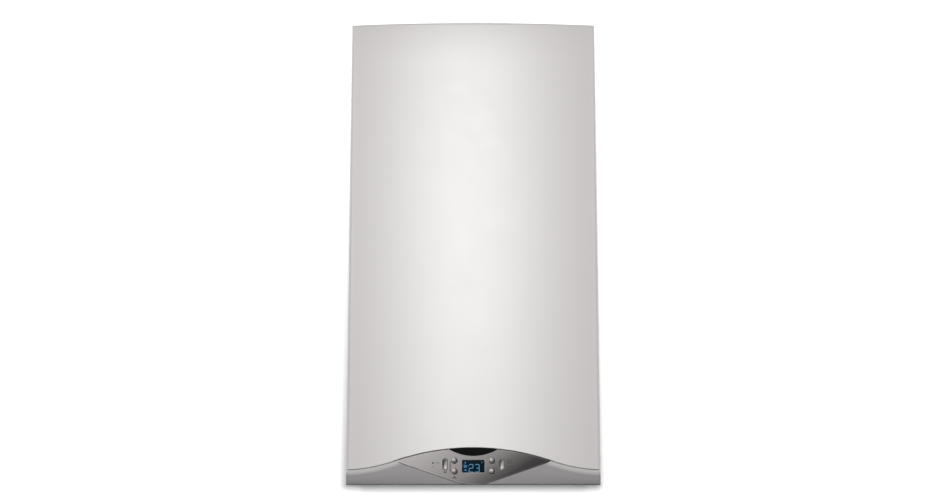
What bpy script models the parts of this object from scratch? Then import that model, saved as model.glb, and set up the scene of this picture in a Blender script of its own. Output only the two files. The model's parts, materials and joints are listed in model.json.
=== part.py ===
# Wall-hung condensing boiler, built as separate pieces.
# Metres, +Z up, the front faces -Y and the wall's face is y = 0. Every height below is a height above the
# casing's lower edge; the origin of the finished part is the middle of the wall bracket's back face.
import math

import bmesh
import bpy
from mathutils import Matrix, Vector

# Casing
CASE_WIDTH = 0.440
CASE_HEIGHT = 0.820
CASE_DEPTH = 0.385
FRONT_BULGE = 0.015
CORNER_BEND = 0.006
TOP_BEND = 0.004
SHEET = 0.002
COVER_RETURN = 0.022
TONGUE_DEPTH = 0.011
HANG_DROP = 0.080
GAP = 0.0003
SHUT_LINE = 0.001
SCREW_HEAD_RADIUS = 0.004
SCREW_RISE = 0.020
EDGE_SOFTENING = 0.0005
SIDE_SLOTS = 4
SLOT_LENGTH = 0.060
SLOT_WIDTH = 0.0045
SLOT_PITCH = 0.012
SLOT_FROM_WALL = 0.040
SLOT_HEIGHT = 0.050

# Seam between cover and fascia, and the eye-shaped panel
SEAM_SIDE_HEIGHT = 0.0265
SEAM_ARCH_HEIGHT = 0.064
EYE_HALF_WIDTH = 0.136
EYE_CORNER_HEIGHT = 0.0415
EYE_BOTTOM_HEIGHT = 0.0012
EYE_BOTTOM_RADIUS = 0.110
EYE_THICKNESS = 0.0025
EYE_TIP = 0.004
FASCIA_WALL = 0.003
FASCIA_LIP = 0.007
BADGE_HALF_WIDTH = 0.043
BADGE_DROP = 0.0145

# Controls
DISPLAY_WIDTH = 0.039
DISPLAY_HEIGHT = 0.0215
DISPLAY_CENTRE = 0.032
BUTTON_RADIUS = 0.005
BUTTON_REACH = 0.0322
BUTTON_UPPER = 0.0414
BUTTON_LOWER = 0.0233
BUTTON_PROUD = 0.0022
ROCKER_WIDTH = 0.0087
ROCKER_HEIGHT = 0.020
ROCKER_REACH = 0.0485
ROCKER_CENTRE = 0.0356
ROCKER_PROUD = 0.0008
KEY_CLEARANCE = 0.0006
HINGE_FROM_WALL = 0.190
HINGE_HEIGHT = 0.010
TRUNNION_RADIUS = 0.004
BOX_SIDE_ROOM = 0.022
BOX_TOP = 0.098
BOX_REAR = 0.202
BOX_FRONT_ROOM = 0.037
BOX_SLOPE_FOOT = 0.034
BOX_SLOPE_RUN = 0.034
BOARD_SET_BACK = 0.014
BOARD_THICKNESS = 0.0016
BOARD_MARGIN = 0.013
BOARD_LIFT = 0.012
POST_RADIUS = 0.003
TRANSFORMER = 0.045
RELAY = 0.020
BUTTON_FLANGE = 0.0015
ROCKER_AXIS_DEPTH = 0.0025
ROCKER_PIN = 0.0015
WINDOW_SUNK = 0.0006

# Wall side
BRACKET_WIDTH = 0.300
BRACKET_HEIGHT = 0.056
BRACKET_SHEET = 0.0035
FRAME_RECESS = 0.008
HOOK_REACH = 0.110
HOOK_WIDTH = 0.030
HOOK_LIP = 0.010
FIXING_REACH = 0.060
FIXING_RADIUS = 0.005

# Flue
FLUE_FROM_WALL = 0.165
FLUE_RADIUS = 0.030
AIR_RADIUS = 0.050
FLUE_WALL = 0.0018
COLLAR_FLANGE = 0.068
COLLAR_RISE = 0.024
SOCKET_RADIUS = 0.040
SOCKET_LENGTH = 0.030
SOCKET_RISE = 0.020
BLANK_RADIUS = 0.046
BLANK_SIDE_ROOM = 0.080

# Heat exchanger and burner
DRUM_DROP = 0.260
DRUM_SIDE_ROOM = 0.0207
DRUM_FAN_ROOM = 0.007
DRUM_WALL = 0.004
DRUM_REAR = 0.116
DRUM_FRONT_ROOM = 0.109
PORT_SPACING = 0.080
PORT_FROM_WALL = 0.145
PORT_REACH = 0.010
CONDENSATE_FROM_WALL = 0.195
COIL_TURNS = 4
DOOR_MARGIN = 0.002
DOOR_SIDE_ROOM = 0.029
DOOR_THICKNESS = 0.012
GASKET = 0.003
COIL_THICKNESS = 0.0404
ELECTRODE_RADIUS = 0.008
ELECTRODE_ROOM = 0.0105
BURNER_FLANGE = 0.009
BURNER_RADIUS = 0.035
BURNER_LENGTH = 0.110
RAIL_GAP = 0.005
RAIL_DEPTH = 0.050
RAIL_FROM_WALL = 0.215
RAIL_LEG = 0.025
FOOT_SPACING = 0.120

# Fan and gas
FAN_SIDE_ROOM = 0.0157
FAN_RADIUS = 0.061
FAN_DEPTH = 0.056
FAN_REAR = 0.190
FAN_WALL = 0.003
FAN_OUTLET = 0.022
IMPELLER_RADIUS = 0.050
IMPELLER_DEPTH = 0.030
BLADES = 10
FAN_MOTOR_RADIUS = 0.036
FAN_MOTOR_LENGTH = 0.042
SHAFT_RADIUS = 0.004
SHAFT_CLEARANCE = 0.0004
MANIFOLD_RISE = 0.052
MANIFOLD_CLEARANCE = 0.028
MANIFOLD_BEND = 0.025
MIXER_RADIUS = 0.025
MIXER_LENGTH = 0.040
SILENCER_HEIGHT = 0.170
SILENCER_DEPTH = 0.0377
SILENCER_WIDTH = 0.044
GAS_VALVE_DROP = 0.160
GAS_VALVE_HEIGHT = 0.080
GAS_VALVE_WIDTH = 0.056
GAS_PIPE_RADIUS = 0.009

# Expansion vessel
VESSEL_RADIUS = 0.165
VESSEL_DROP = 0.275
VESSEL_DEPTH = 0.090
VESSEL_WALL = 0.002

# Water side
TAIL_SIDE_ROOM = 0.090
TAIL_FROM_WALL = 0.105
TAIL_RADIUS = 0.0125
TAIL_BORE = 0.0085
TAIL_END = 0.003
TAIL_NUT = 0.017
PLATE_HEIGHT = 0.014
PLATE_EDGE = 0.174
GROUP_BASE = 0.042
GROUP_HEIGHT = 0.078
GROUP_DEPTH = 0.060
GROUP_MARGIN = 0.022
PUMP_RADIUS = 0.048
PUMP_DEPTH = 0.050
PUMP_MOTOR_RADIUS = 0.042
PUMP_MOTOR_LENGTH = 0.075
PUMP_HEIGHT = 0.180
PUMP_IMPELLER = 0.034
VENT_RADIUS = 0.016
VENT_HEIGHT = 0.070
EXCHANGER_LENGTH = 0.180
EXCHANGER_HEIGHT = 0.074
EXCHANGER_DEPTH = 0.050
PLATE_GROUPS = 8
SPOOL_RADIUS = 0.009
SPOOL_STROKE = 0.006
ACTUATOR_RADIUS = 0.020
ACTUATOR_HEIGHT = 0.055
TRAP_RADIUS = 0.028
TRAP_HEIGHT = 0.110
TRAP_SIDE_ROOM = 0.0057
TRAP_FROM_WALL = 0.120
WATER_PIPE_RADIUS = 0.009
VESSEL_PIPE_RADIUS = 0.005
HANDLE_LENGTH = 0.034
KNOB_RADIUS = 0.014

# Finishes: colour, roughness, metallic
PAINT = ((0.80, 0.79, 0.78), 0.35, 0.0)
STEEL = ((0.62, 0.63, 0.64), 0.35, 0.9)
SILVER = ((0.42, 0.41, 0.40), 0.30, 0.8)
GREY_PLASTIC = ((0.26, 0.255, 0.25), 0.40, 0.0)
BLACK_GLOSS = ((0.01, 0.01, 0.01), 0.08, 0.0)
DARK_PLASTIC = ((0.05, 0.05, 0.055), 0.50, 0.0)
GLASS = ((0.01, 0.04, 0.07), 0.05, 0.0)
BRASS = ((0.72, 0.53, 0.24), 0.35, 0.9)
COPPER = ((0.78, 0.42, 0.26), 0.30, 0.9)
RUBBER = ((0.04, 0.04, 0.04), 0.80, 0.0)
RED_PAINT = ((0.55, 0.05, 0.04), 0.40, 0.0)
BLUE_PLASTIC = ((0.03, 0.12, 0.45), 0.40, 0.0)
BOARD_GREEN = ((0.03, 0.20, 0.08), 0.50, 0.0)
WHITE_PLASTIC = ((0.75, 0.75, 0.72), 0.45, 0.0)

# Values worked out from the sizes above
HALF_WIDTH = CASE_WIDTH / 2
HANG_HEIGHT = CASE_HEIGHT - HANG_DROP
ARC_RADIUS = ((HALF_WIDTH - CORNER_BEND) ** 2 + FRONT_BULGE**2) / (2 * FRONT_BULGE)
SIDE_FRONT = CASE_DEPTH - FRONT_BULGE
COVER_BACK = SIDE_FRONT - COVER_RETURN
ARCH_DROP = SEAM_ARCH_HEIGHT - EYE_CORNER_HEIGHT
ARCH_RADIUS = (EYE_HALF_WIDTH**2 + ARCH_DROP**2) / (2 * ARCH_DROP)
INNER_HALF = HALF_WIDTH - SHEET - GAP
FRAME_FRONT = FRAME_RECESS + SHEET
DRUM_RADIUS = INNER_HALF - FAN_RADIUS - (DRUM_SIDE_ROOM + DRUM_FAN_ROOM + FAN_SIDE_ROOM) / 2
DRUM_X = DRUM_SIDE_ROOM + DRUM_RADIUS - INNER_HALF
DRUM_HEIGHT = CASE_HEIGHT - DRUM_DROP
COIL_OUTER = DRUM_RADIUS - DRUM_WALL - 2 * GAP
COIL_INNER = COIL_OUTER - COIL_THICKNESS
DOOR_OPENING = COIL_INNER - DOOR_MARGIN
DOOR_RADIUS = DRUM_RADIUS - DOOR_SIDE_ROOM
ELECTRODE_REACH = BURNER_RADIUS + BURNER_FLANGE + ELECTRODE_RADIUS + ELECTRODE_ROOM
DRUM_FRONT = CASE_DEPTH - DRUM_FRONT_ROOM
PORT_END = DRUM_HEIGHT - DRUM_RADIUS - PORT_REACH
RAIL_HEIGHT = DRUM_HEIGHT - DRUM_RADIUS - RAIL_GAP
FAN_X = INNER_HALF - FAN_SIDE_ROOM - FAN_RADIUS
FAN_HEIGHT = DRUM_HEIGHT
VALVE_FOOT = FAN_HEIGHT - GAS_VALVE_DROP
VESSEL_HEIGHT = CASE_HEIGHT - VESSEL_DROP
TAIL_PITCH = (HALF_WIDTH - TAIL_SIDE_ROOM) / 2
BLANK_REACH = HALF_WIDTH - BLANK_SIDE_ROOM
TRAP_X = TRAP_SIDE_ROOM + TRAP_RADIUS - INNER_HALF
BOX_WIDTH = CASE_WIDTH - 2 * BOX_SIDE_ROOM
BOX_FRONT = CASE_DEPTH - BOX_FRONT_ROOM
BOX_SLOPE_TOP = BOX_FRONT - BOX_SLOPE_RUN
SET_BACK = EYE_THICKNESS + GAP
BOARD_FRONT = CASE_DEPTH - BOARD_SET_BACK
FLANGE_RADIUS = BUTTON_RADIUS + BUTTON_FLANGE
PLATE_TOP = PLATE_HEIGHT + SHEET
FULL_TURN = 2 * math.pi


def paint(obj, finish):
    colour, roughness, metallic = finish
    material = bpy.data.materials.new(obj.name)
    material.use_nodes = True
    shader = material.node_tree.nodes["Principled BSDF"]
    shader.inputs["Base Color"].default_value = (*colour, 1)
    shader.inputs["Roughness"].default_value = roughness
    shader.inputs["Metallic"].default_value = metallic
    obj.data.materials.clear()
    obj.data.materials.append(material)
    return obj


def mesh_object(name, points, faces):
    """A closed mesh with its faces turned outwards."""
    mesh = bpy.data.meshes.new(name)
    mesh.from_pydata(points, [], faces)
    shape = bmesh.new()
    shape.from_mesh(mesh)
    bmesh.ops.remove_doubles(shape, verts=shape.verts, dist=1e-6)
    bmesh.ops.recalc_face_normals(shape, faces=shape.faces)
    shape.to_mesh(mesh)
    shape.free()
    obj = bpy.data.objects.new(name, mesh)
    bpy.context.scene.collection.objects.link(obj)
    return obj


def oriented(axis, across, up, along):
    """A point given in an outline's own plane and a distance along the extrusion axis."""
    return {"x": (along, across, up), "y": (across, along, up), "z": (across, up, along)}[axis]


def prism(name, outline, axis, low, high):
    """An outline pushed along one axis. The outline is (y, z), (x, z) or (x, y) for axis x, y or z."""
    count = len(outline)
    points = [oriented(axis, a, b, end) for end in (low, high) for a, b in outline]
    faces = [list(range(count)), list(range(count, 2 * count))]
    for i in range(count):
        after = (i + 1) % count
        faces.append([i, after, count + after, count + i])
    return mesh_object(name, points, faces)


def block(name, low, high):
    outline = [(low[0], low[1]), (high[0], low[1]), (high[0], high[1]), (low[0], high[1])]
    return prism(name, outline, "z", low[2], high[2])


def lathe(name, profile, axis, centre, sides=18):
    """A profile of (radius, distance along the axis) turned about an axis through centre."""
    rings = []
    points = []
    for radius, along in profile:
        steps = sides if radius > 0 else 1
        rings.append(range(len(points), len(points) + steps))
        for k in range(steps):
            turn = FULL_TURN * k / sides
            offset = oriented(axis, radius * math.cos(turn), radius * math.sin(turn), along)
            points.append(tuple(c + o for c, o in zip(centre, offset)))
    faces = []
    for i, ring in enumerate(rings):
        following = rings[(i + 1) % len(rings)]
        if len(ring) == 1 and len(following) == 1:
            continue
        for k in range(sides):
            after = (k + 1) % sides
            face = [ring[k % len(ring)], ring[after % len(ring)]]
            face += [following[after % len(following)], following[k % len(following)]]
            faces.append(list(dict.fromkeys(face)))
    return mesh_object(name, points, faces)


def cylinder(name, axis, centre, radius, low, high, sides=18):
    return lathe(name, [(0, low), (radius, low), (radius, high), (0, high)], axis, centre, sides)


def ring(name, axis, centre, inner, outer, low, high, sides=18):
    profile = [(inner, low), (outer, low), (outer, high), (inner, high)]
    return lathe(name, profile, axis, centre, sides)


def plain_faces(mesh):
    """Split faces with many corners, which an earlier cut may have left with a hole inside."""
    shape = bmesh.new()
    shape.from_mesh(mesh)
    bmesh.ops.remove_doubles(shape, verts=shape.verts, dist=1e-6)
    bmesh.ops.dissolve_degenerate(shape, edges=shape.edges, dist=1e-6)
    bmesh.ops.triangulate(shape, faces=[face for face in shape.faces if len(face.verts) > 4])
    shape.to_mesh(mesh)
    shape.free()


def combine(target, operation, tools):
    """Boolean tools into the target and remove them."""
    for tool in tools:
        modifier = target.modifiers.new(operation, "BOOLEAN")
        modifier.operation = operation
        modifier.solver = "EXACT"
        modifier.object = tool
        bpy.context.view_layer.update()
        graph = bpy.context.evaluated_depsgraph_get()
        result = bpy.data.meshes.new_from_object(target.evaluated_get(graph))
        target.modifiers.clear()
        plain_faces(result)
        target.data = result
        bpy.data.objects.remove(tool)
    return target


def join(target, *tools):
    return combine(target, "UNION", tools)


def cut(target, *tools):
    return combine(target, "DIFFERENCE", tools)


def rounded_route(corners, bend, steps=3):
    """Straight runs between corners, with an arc of radius bend at each inner corner."""
    route = [Vector(corners[0])]
    for before, corner, after in zip(corners, corners[1:], corners[2:]):
        corner = Vector(corner)
        back = (Vector(before) - corner).normalized()
        ahead = (Vector(after) - corner).normalized()
        half_angle = back.angle(ahead) / 2
        if half_angle > math.radians(89):
            route.append(corner)
            continue
        inset = bend / math.tan(half_angle)
        centre = corner + (back + ahead).normalized() * bend / math.sin(half_angle)
        start = corner + back * inset - centre
        end = corner + ahead * inset - centre
        for k in range(steps + 1):
            route.append(centre + start.slerp(end, k / steps) * bend / start.slerp(end, k / steps).length)
    route.append(Vector(corners[-1]))
    return route


def pipe(name, corners, radius, bend, sides=8):
    """A round bar swept along a route, square to it at both ends."""
    route = rounded_route(corners, bend)
    points = []
    direction = (route[1] - route[0]).normalized()
    side = direction.orthogonal().normalized()
    for i, place in enumerate(route):
        ahead = (route[min(i + 1, len(route) - 1)] - route[max(i - 1, 0)]).normalized()
        side = (side - ahead * side.dot(ahead)).normalized()
        other = ahead.cross(side)
        for k in range(sides):
            turn = FULL_TURN * k / sides
            points.append(place + (side * math.cos(turn) + other * math.sin(turn)) * radius)
    faces = [list(range(sides)), list(range(len(points) - sides, len(points)))]
    for i in range(len(route) - 1):
        for k in range(sides):
            after = (k + 1) % sides
            faces.append([i * sides + k, i * sides + after, (i + 1) * sides + after, (i + 1) * sides + k])
    return mesh_object(name, points, faces)


def between(start, end, share):
    return start + (end - start) * share


def finish_off(obj, finish, smooth=True):
    paint(obj, finish)
    if smooth:
        obj.data.shade_smooth()
        obj.data.set_sharp_from_angle(angle=math.radians(35))
    return obj


def pivot(obj, point):
    """Put the object's origin on its joint's axis, with its shape left where it is."""
    obj.data.transform(Matrix.Translation(-Vector(point)))
    obj.location = point
    return obj


def seam_height(x):
    """Height of the line between cover and fascia: an arch, then a curve that flattens towards the side."""
    run = abs(x) - EYE_HALF_WIDTH
    if run <= 0:
        return SEAM_ARCH_HEIGHT - ARCH_RADIUS + math.sqrt(ARCH_RADIUS**2 - x * x)
    length = HALF_WIDTH - EYE_HALF_WIDTH
    slope = EYE_HALF_WIDTH / math.sqrt(ARCH_RADIUS**2 - EYE_HALF_WIDTH**2)
    rise = slope * length - EYE_CORNER_HEIGHT + SEAM_SIDE_HEIGHT
    return EYE_CORNER_HEIGHT - slope * run + rise * (run / length) ** 2


def eye_bottom(x):
    """Lower edge of the eye: a line from its corner that runs into a round bottom."""
    centre = EYE_BOTTOM_HEIGHT + EYE_BOTTOM_RADIUS
    rise = centre - EYE_CORNER_HEIGHT
    a = EYE_HALF_WIDTH**2 - EYE_BOTTOM_RADIUS**2
    b = rise * EYE_HALF_WIDTH
    c = rise**2 - EYE_BOTTOM_RADIUS**2
    slope = (math.sqrt(b * b - a * c) - b) / a
    if abs(x) < EYE_BOTTOM_RADIUS * slope / math.hypot(1, slope):
        return centre - math.sqrt(EYE_BOTTOM_RADIUS**2 - x * x)
    return EYE_CORNER_HEIGHT + slope * (abs(x) - EYE_HALF_WIDTH)


def badge_bottom(x):
    """Lower edge of the crescent badge, an arc between two points of the arch."""
    tip = seam_height(BADGE_HALF_WIDTH)
    sag = tip - SEAM_ARCH_HEIGHT + BADGE_DROP
    radius = (BADGE_HALF_WIDTH**2 + sag**2) / (2 * sag)
    return tip - sag + radius - math.sqrt(radius**2 - x * x)


def front_distance(x, inset=0.0):
    """How far the front stands from the wall at x, for a surface that lies inset inside the outer one."""
    bend_start = HALF_WIDTH - CORNER_BEND
    reach = min(abs(x), bend_start)
    distance = CASE_DEPTH - ARC_RADIUS + math.sqrt((ARC_RADIUS - inset) ** 2 - reach**2)
    bend = CORNER_BEND - inset
    past = min(abs(x) - reach, bend)
    return distance - bend + math.sqrt(max(bend**2 - past**2, 0))


def front_stations(inset=0.0, spans=18, corner_steps=2):
    """Places across the front, close together round the two corner bends."""
    bend_start = HALF_WIDTH - CORNER_BEND
    middle = [bend_start * (2 * i / spans - 1) for i in range(spans + 1)]
    turns = [math.pi / 2 * k / corner_steps for k in range(1, corner_steps + 1)]
    bent = [bend_start + (CORNER_BEND - inset) * math.sin(turn) for turn in turns]
    return [-x for x in reversed(bent)] + middle + bent


def even_stations(half, spans):
    return [half * (2 * i / spans - 1) for i in range(spans + 1)]


def loft(name, sections):
    """A closed solid through sections with the same number of points."""
    count = len(sections[0])
    points = [point for section in sections for point in section]
    faces = [list(range(count)), list(range(len(points) - count, len(points)))]
    for i in range(len(sections) - 1):
        for k in range(count):
            after = (k + 1) % count
            faces.append([i * count + k, i * count + after, (i + 1) * count + after, (i + 1) * count + k])
    return mesh_object(name, points, faces)


def front_section(x, front, back, low, high, low_bend, high_bend, steps=2):
    """One slice of a front piece: square at the back, its two front edges rounded."""
    points = [(x, -back, high), (x, -back, low)]
    for k in range(steps + 1):
        turn = math.pi / 2 * k / steps
        away = low_bend * (1 - math.sin(turn))
        points.append((x, -(front - away), low + low_bend * (1 - math.cos(turn))))
    for k in range(steps + 1):
        turn = math.pi / 2 * k / steps
        away = high_bend * (1 - math.cos(turn))
        points.append((x, -(front - away), high - high_bend * (1 - math.sin(turn))))
    return points


def front_plate(name, half, spans, low, high, front, thickness):
    """A thin plate that follows the front's curve between two edges."""
    sections = []
    for x in even_stations(half, spans):
        outer = front_distance(x) - front
        inner = outer - thickness
        bottom, top = low(x), high(x)
        sections.append([(x, -outer, bottom), (x, -outer, top), (x, -inner, top), (x, -inner, bottom)])
    return loft(name, sections)


def front_cover():
    inside = SHEET
    outer = []
    cavity = []
    for x in front_stations():
        low = seam_height(x) + SHUT_LINE / 2
        front = front_distance(x)
        outer.append(front_section(x, front, COVER_BACK, low, CASE_HEIGHT, EDGE_SOFTENING, TOP_BEND))
    for x in front_stations(inside):
        low = seam_height(x) - SEAM_SIDE_HEIGHT
        top = CASE_HEIGHT - inside
        back = COVER_BACK - COVER_RETURN
        distance = front_distance(x, inside)
        cavity.append(front_section(x, distance, back, low, top, EDGE_SOFTENING, TOP_BEND - inside))
    cover = cut(loft("front_cover", outer), loft("cavity", cavity))
    for side in (-1, 1):
        cut(cover, screw_hole(side))
    return finish_off(cover, PAINT)


def screw_place(side):
    """Where the cover's side screws sit: through its return into the side panel's tongue."""
    return (side * HALF_WIDTH, -(COVER_BACK + TONGUE_DEPTH / 2), SEAM_SIDE_HEIGHT + SCREW_RISE)


def screw_hole(side):
    x, y, z = screw_place(side)
    shank = SCREW_HEAD_RADIUS / 2 + GAP
    along = sorted((-side * SHEET * 4, side * SHEET * 2))
    return cylinder("hole", "x", (x, y, z), shank, *along, 12)


def cover_screws():
    for side, name in ((-1, "cover_screw_left"), (1, "cover_screw_right")):
        shank = SCREW_HEAD_RADIUS / 2
        end = -side * (SHEET * 3)
        head = side * 0.0018
        profile = [(0, end), (shank, end), (shank, side * GAP), (SCREW_HEAD_RADIUS, side * GAP)]
        profile += [(SCREW_HEAD_RADIUS, head * 0.6), (SCREW_HEAD_RADIUS * 0.6, head), (0, head)]
        finish_off(lathe(name, profile, "x", screw_place(side), 12), STEEL)


def side_panels():
    """Plates with a joggled tongue inside the cover's return and a flange folded in at the wall."""
    for side, name in ((-1, "left_side_panel"), (1, "right_side_panel")):
        edge = COVER_BACK - SHUT_LINE
        tongue = COVER_BACK + TONGUE_DEPTH
        inner = HALF_WIDTH - SHEET
        sunk = inner - GAP
        plan = [(HALF_WIDTH, 0), (HALF_WIDTH, -edge), (sunk, -edge - GAP), (sunk, -tongue)]
        plan += [(sunk - SHEET, -tongue), (sunk - SHEET, -edge + SHEET)]
        plan += [(inner, -edge + 2 * SHEET), (inner, 0)]
        top = CASE_HEIGHT - SHEET - GAP
        panel = prism(name, [(side * x, y) for x, y in plan], "z", 0, top)
        notch = SEAM_SIDE_HEIGHT + SHUT_LINE
        cut(panel, block("notch", (-HALF_WIDTH, -tongue - SHEET, -SHEET), (HALF_WIDTH, -edge, notch)))
        crown = top - SHEET - 2 * GAP
        low = (-HALF_WIDTH, -tongue - SHEET, crown)
        cut(panel, block("crown", low, (HALF_WIDTH, -edge + 2 * SHEET + GAP, CASE_HEIGHT)))
        cut(panel, screw_hole(side))
        for i in range(SIDE_SLOTS):
            slot = SLOT_HEIGHT + SLOT_PITCH * i
            slot_front = -SLOT_FROM_WALL - SLOT_LENGTH
            low = (min(side * inner, side * HALF_WIDTH) - SHEET, slot_front, slot)
            high = (max(side * inner, side * HALF_WIDTH) + SHEET, -SLOT_FROM_WALL, slot + SLOT_WIDTH)
            cut(panel, block("slot", low, high))
        join(panel, hinge_bearing(side))
        finish_off(panel, PAINT)


def top_panel():
    """Flat top with a joggled tongue under the cover, the flue hole and the blanked air hole."""
    edge = COVER_BACK - SHUT_LINE
    tongue = COVER_BACK + TONGUE_DEPTH
    top = CASE_HEIGHT
    sunk = top - SHEET - GAP
    side = [(0, top), (-edge, top), (-edge - GAP, sunk), (-tongue, sunk), (-tongue, sunk - SHEET)]
    side += [(-edge + SHEET, sunk - SHEET), (-edge + 2 * SHEET, top - SHEET), (0, top - SHEET)]
    panel = prism("top_panel", side, "x", -HALF_WIDTH, HALF_WIDTH)
    for end in (-1, 1):
        low = (min(end * HALF_WIDTH, end * (INNER_HALF - 2 * SHEET)), -tongue - SHEET, top - 0.03)
        high = (max(end * HALF_WIDTH, end * (INNER_HALF - 2 * SHEET)), -edge - GAP / 2, top + SHEET)
        cut(panel, block("corner", low, high))
    reach = CASE_HEIGHT + SHEET
    flue = (0, -FLUE_FROM_WALL, 0)
    cut(panel, cylinder("hole", "z", flue, AIR_RADIUS, CASE_HEIGHT - 2 * SHEET, reach))
    blank = (-BLANK_REACH, -FLUE_FROM_WALL, 0)
    cut(panel, cylinder("hole", "z", blank, BLANK_RADIUS - 4 * SHEET, CASE_HEIGHT - 2 * SHEET, reach, 20))
    finish_off(panel, PAINT)


def bottom_plate():
    """Floor of the casing behind the control box, with a hole for every pipe."""
    low = (-INNER_HALF, -PLATE_EDGE, PLATE_HEIGHT)
    high = (INNER_HALF, -FRAME_FRONT - GAP, PLATE_TOP)
    plate = block("bottom_plate", low, high)
    for place in range(-2, 3):
        centre = (place * TAIL_PITCH, -TAIL_FROM_WALL, 0)
        cut(plate, cylinder("hole", "z", centre, TAIL_RADIUS + 0.001, 0, 2 * PLATE_TOP, 16))
    trap = (TRAP_X, -TRAP_FROM_WALL, 0)
    cut(plate, cylinder("hole", "z", trap, TAIL_RADIUS + 0.001, 0, 2 * PLATE_TOP, 16))
    cut(plate, cylinder("hole", "z", handle_place(), SHAFT_RADIUS + 0.001, 0, 2 * PLATE_TOP, 12))
    finish_off(plate, PAINT)


def slot_edge():
    """Height of the rear frame's slot tops, which hang on the bracket's hooks."""
    return HANG_HEIGHT + BRACKET_HEIGHT / 4


def rear_frame():
    low = (-INNER_HALF, -FRAME_FRONT, 0)
    high = (INNER_HALF, -FRAME_RECESS, CASE_HEIGHT - SHEET - GAP)
    frame = block("rear_frame", low, high)
    for side in (-1, 1):
        x = side * HOOK_REACH
        half = HOOK_WIDTH / 2 + 0.002
        bottom = slot_edge() - 0.020
        cut(frame, block("slot", (x - half, -0.05, bottom), (x + half, 0.01, slot_edge())))
    finish_off(frame, STEEL)


def wall_bracket():
    """Plate on the wall with two hooks that reach through the rear frame's slots and turn up."""
    bottom = HANG_HEIGHT - BRACKET_HEIGHT / 2
    half = BRACKET_WIDTH / 2
    bracket = block("wall_bracket", (-half, -BRACKET_SHEET, bottom), (half, 0, bottom + BRACKET_HEIGHT))
    for side in (-1, 1):
        x = side * HOOK_REACH
        shelf = slot_edge() - GAP
        lip = -(FRAME_FRONT + GAP)
        hook = [(-BRACKET_SHEET / 2, shelf), (lip, shelf), (lip, shelf + HOOK_LIP)]
        hook += [(lip - SHEET, shelf + HOOK_LIP), (lip - SHEET, shelf - SHEET)]
        hook += [(-BRACKET_SHEET / 2, shelf - SHEET)]
        join(bracket, prism("hook", hook, "x", x - HOOK_WIDTH / 2, x + HOOK_WIDTH / 2))
        hole = (side * FIXING_REACH, 0, HANG_HEIGHT)
        cut(bracket, cylinder("hole", "y", hole, FIXING_RADIUS, -0.01, 0.01, 16))
    finish_off(bracket, STEEL)


def flue_parts():
    centre = (0, -FLUE_FROM_WALL, 0)
    flange = CASE_HEIGHT + GAP
    rim = CASE_HEIGHT + COLLAR_RISE
    inner = AIR_RADIUS - FLUE_WALL
    profile = [(inner, flange), (COLLAR_FLANGE, flange), (COLLAR_FLANGE, flange + SHEET)]
    profile += [(AIR_RADIUS + SHEET, flange + SHEET), (AIR_RADIUS, flange + 2 * SHEET)]
    profile += [(AIR_RADIUS, rim), (inner, rim)]
    collar = lathe("flue_collar", profile, "z", centre, 24)
    finish_off(collar, PAINT)
    blank = (-BLANK_REACH, -FLUE_FROM_WALL, CASE_HEIGHT)
    crown = GAP + 1.6 * SHEET
    profile = [(0, GAP), (BLANK_RADIUS, GAP), (BLANK_RADIUS, GAP + SHEET), (BLANK_RADIUS - 2 * SHEET, crown)]
    profile += [(0, crown)]
    finish_off(lathe("air_port_cover", profile, "z", blank, 20), PAINT)
    foot = socket_top() + GAP
    wide = SOCKET_RADIUS
    thin = FLUE_WALL
    shoulder = foot + SOCKET_LENGTH
    neck = shoulder + 1.5 * (SOCKET_RADIUS - FLUE_RADIUS)
    profile = [(wide - thin, foot), (wide, foot), (wide, shoulder), (FLUE_RADIUS + thin, neck)]
    profile += [(FLUE_RADIUS + thin, rim - SHEET), (FLUE_RADIUS, rim - SHEET), (FLUE_RADIUS, neck)]
    profile += [(wide - thin, shoulder)]
    finish_off(lathe("flue_duct", profile, "z", centre, 18), WHITE_PLASTIC)


def socket_top():
    return DRUM_HEIGHT + DRUM_RADIUS + SOCKET_RISE


def hinge_axis():
    return (0, -HINGE_FROM_WALL, HINGE_HEIGHT)


def hinge_bearing(side):
    """Lug welded inside a side panel, with the bore for one trunnion of the control box."""
    near = side * (BOX_WIDTH / 2 + 0.0045)
    low_x, high_x = sorted((near, side * (HALF_WIDTH - SHEET / 2)))
    low = (low_x, -HINGE_FROM_WALL - 0.010, 0.001)
    lug = block("lug", low, (high_x, -HINGE_FROM_WALL + 0.010, HINGE_HEIGHT + 0.012))
    along = sorted((0, side * (INNER_HALF - SHEET)))
    return cut(lug, cylinder("bore", "x", hinge_axis(), TRUNNION_RADIUS + GAP, *along, 12))


def fascia_inner(x):
    return front_distance(x, FASCIA_WALL) - SET_BACK


def button_places():
    """Name, x and height of each round button."""
    return [
        ("button_upper_left", -BUTTON_REACH, BUTTON_UPPER),
        ("button_lower_left", -BUTTON_REACH, BUTTON_LOWER),
        ("button_upper_right", BUTTON_REACH, BUTTON_UPPER),
        ("button_lower_right", BUTTON_REACH, BUTTON_LOWER),
    ]


def rocker_places():
    return [("rocker_left", -ROCKER_REACH), ("rocker_right", ROCKER_REACH)]


def capsule(x, z, width, height, steps=5):
    """An upright slot outline with round ends."""
    radius = width / 2
    straight = height / 2 - radius
    outline = []
    for end, start in ((straight, 0), (-straight, math.pi)):
        for k in range(steps + 1):
            turn = start + math.pi * k / steps
            outline.append((x + radius * math.cos(turn), z + end + radius * math.sin(turn)))
    return outline


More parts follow.
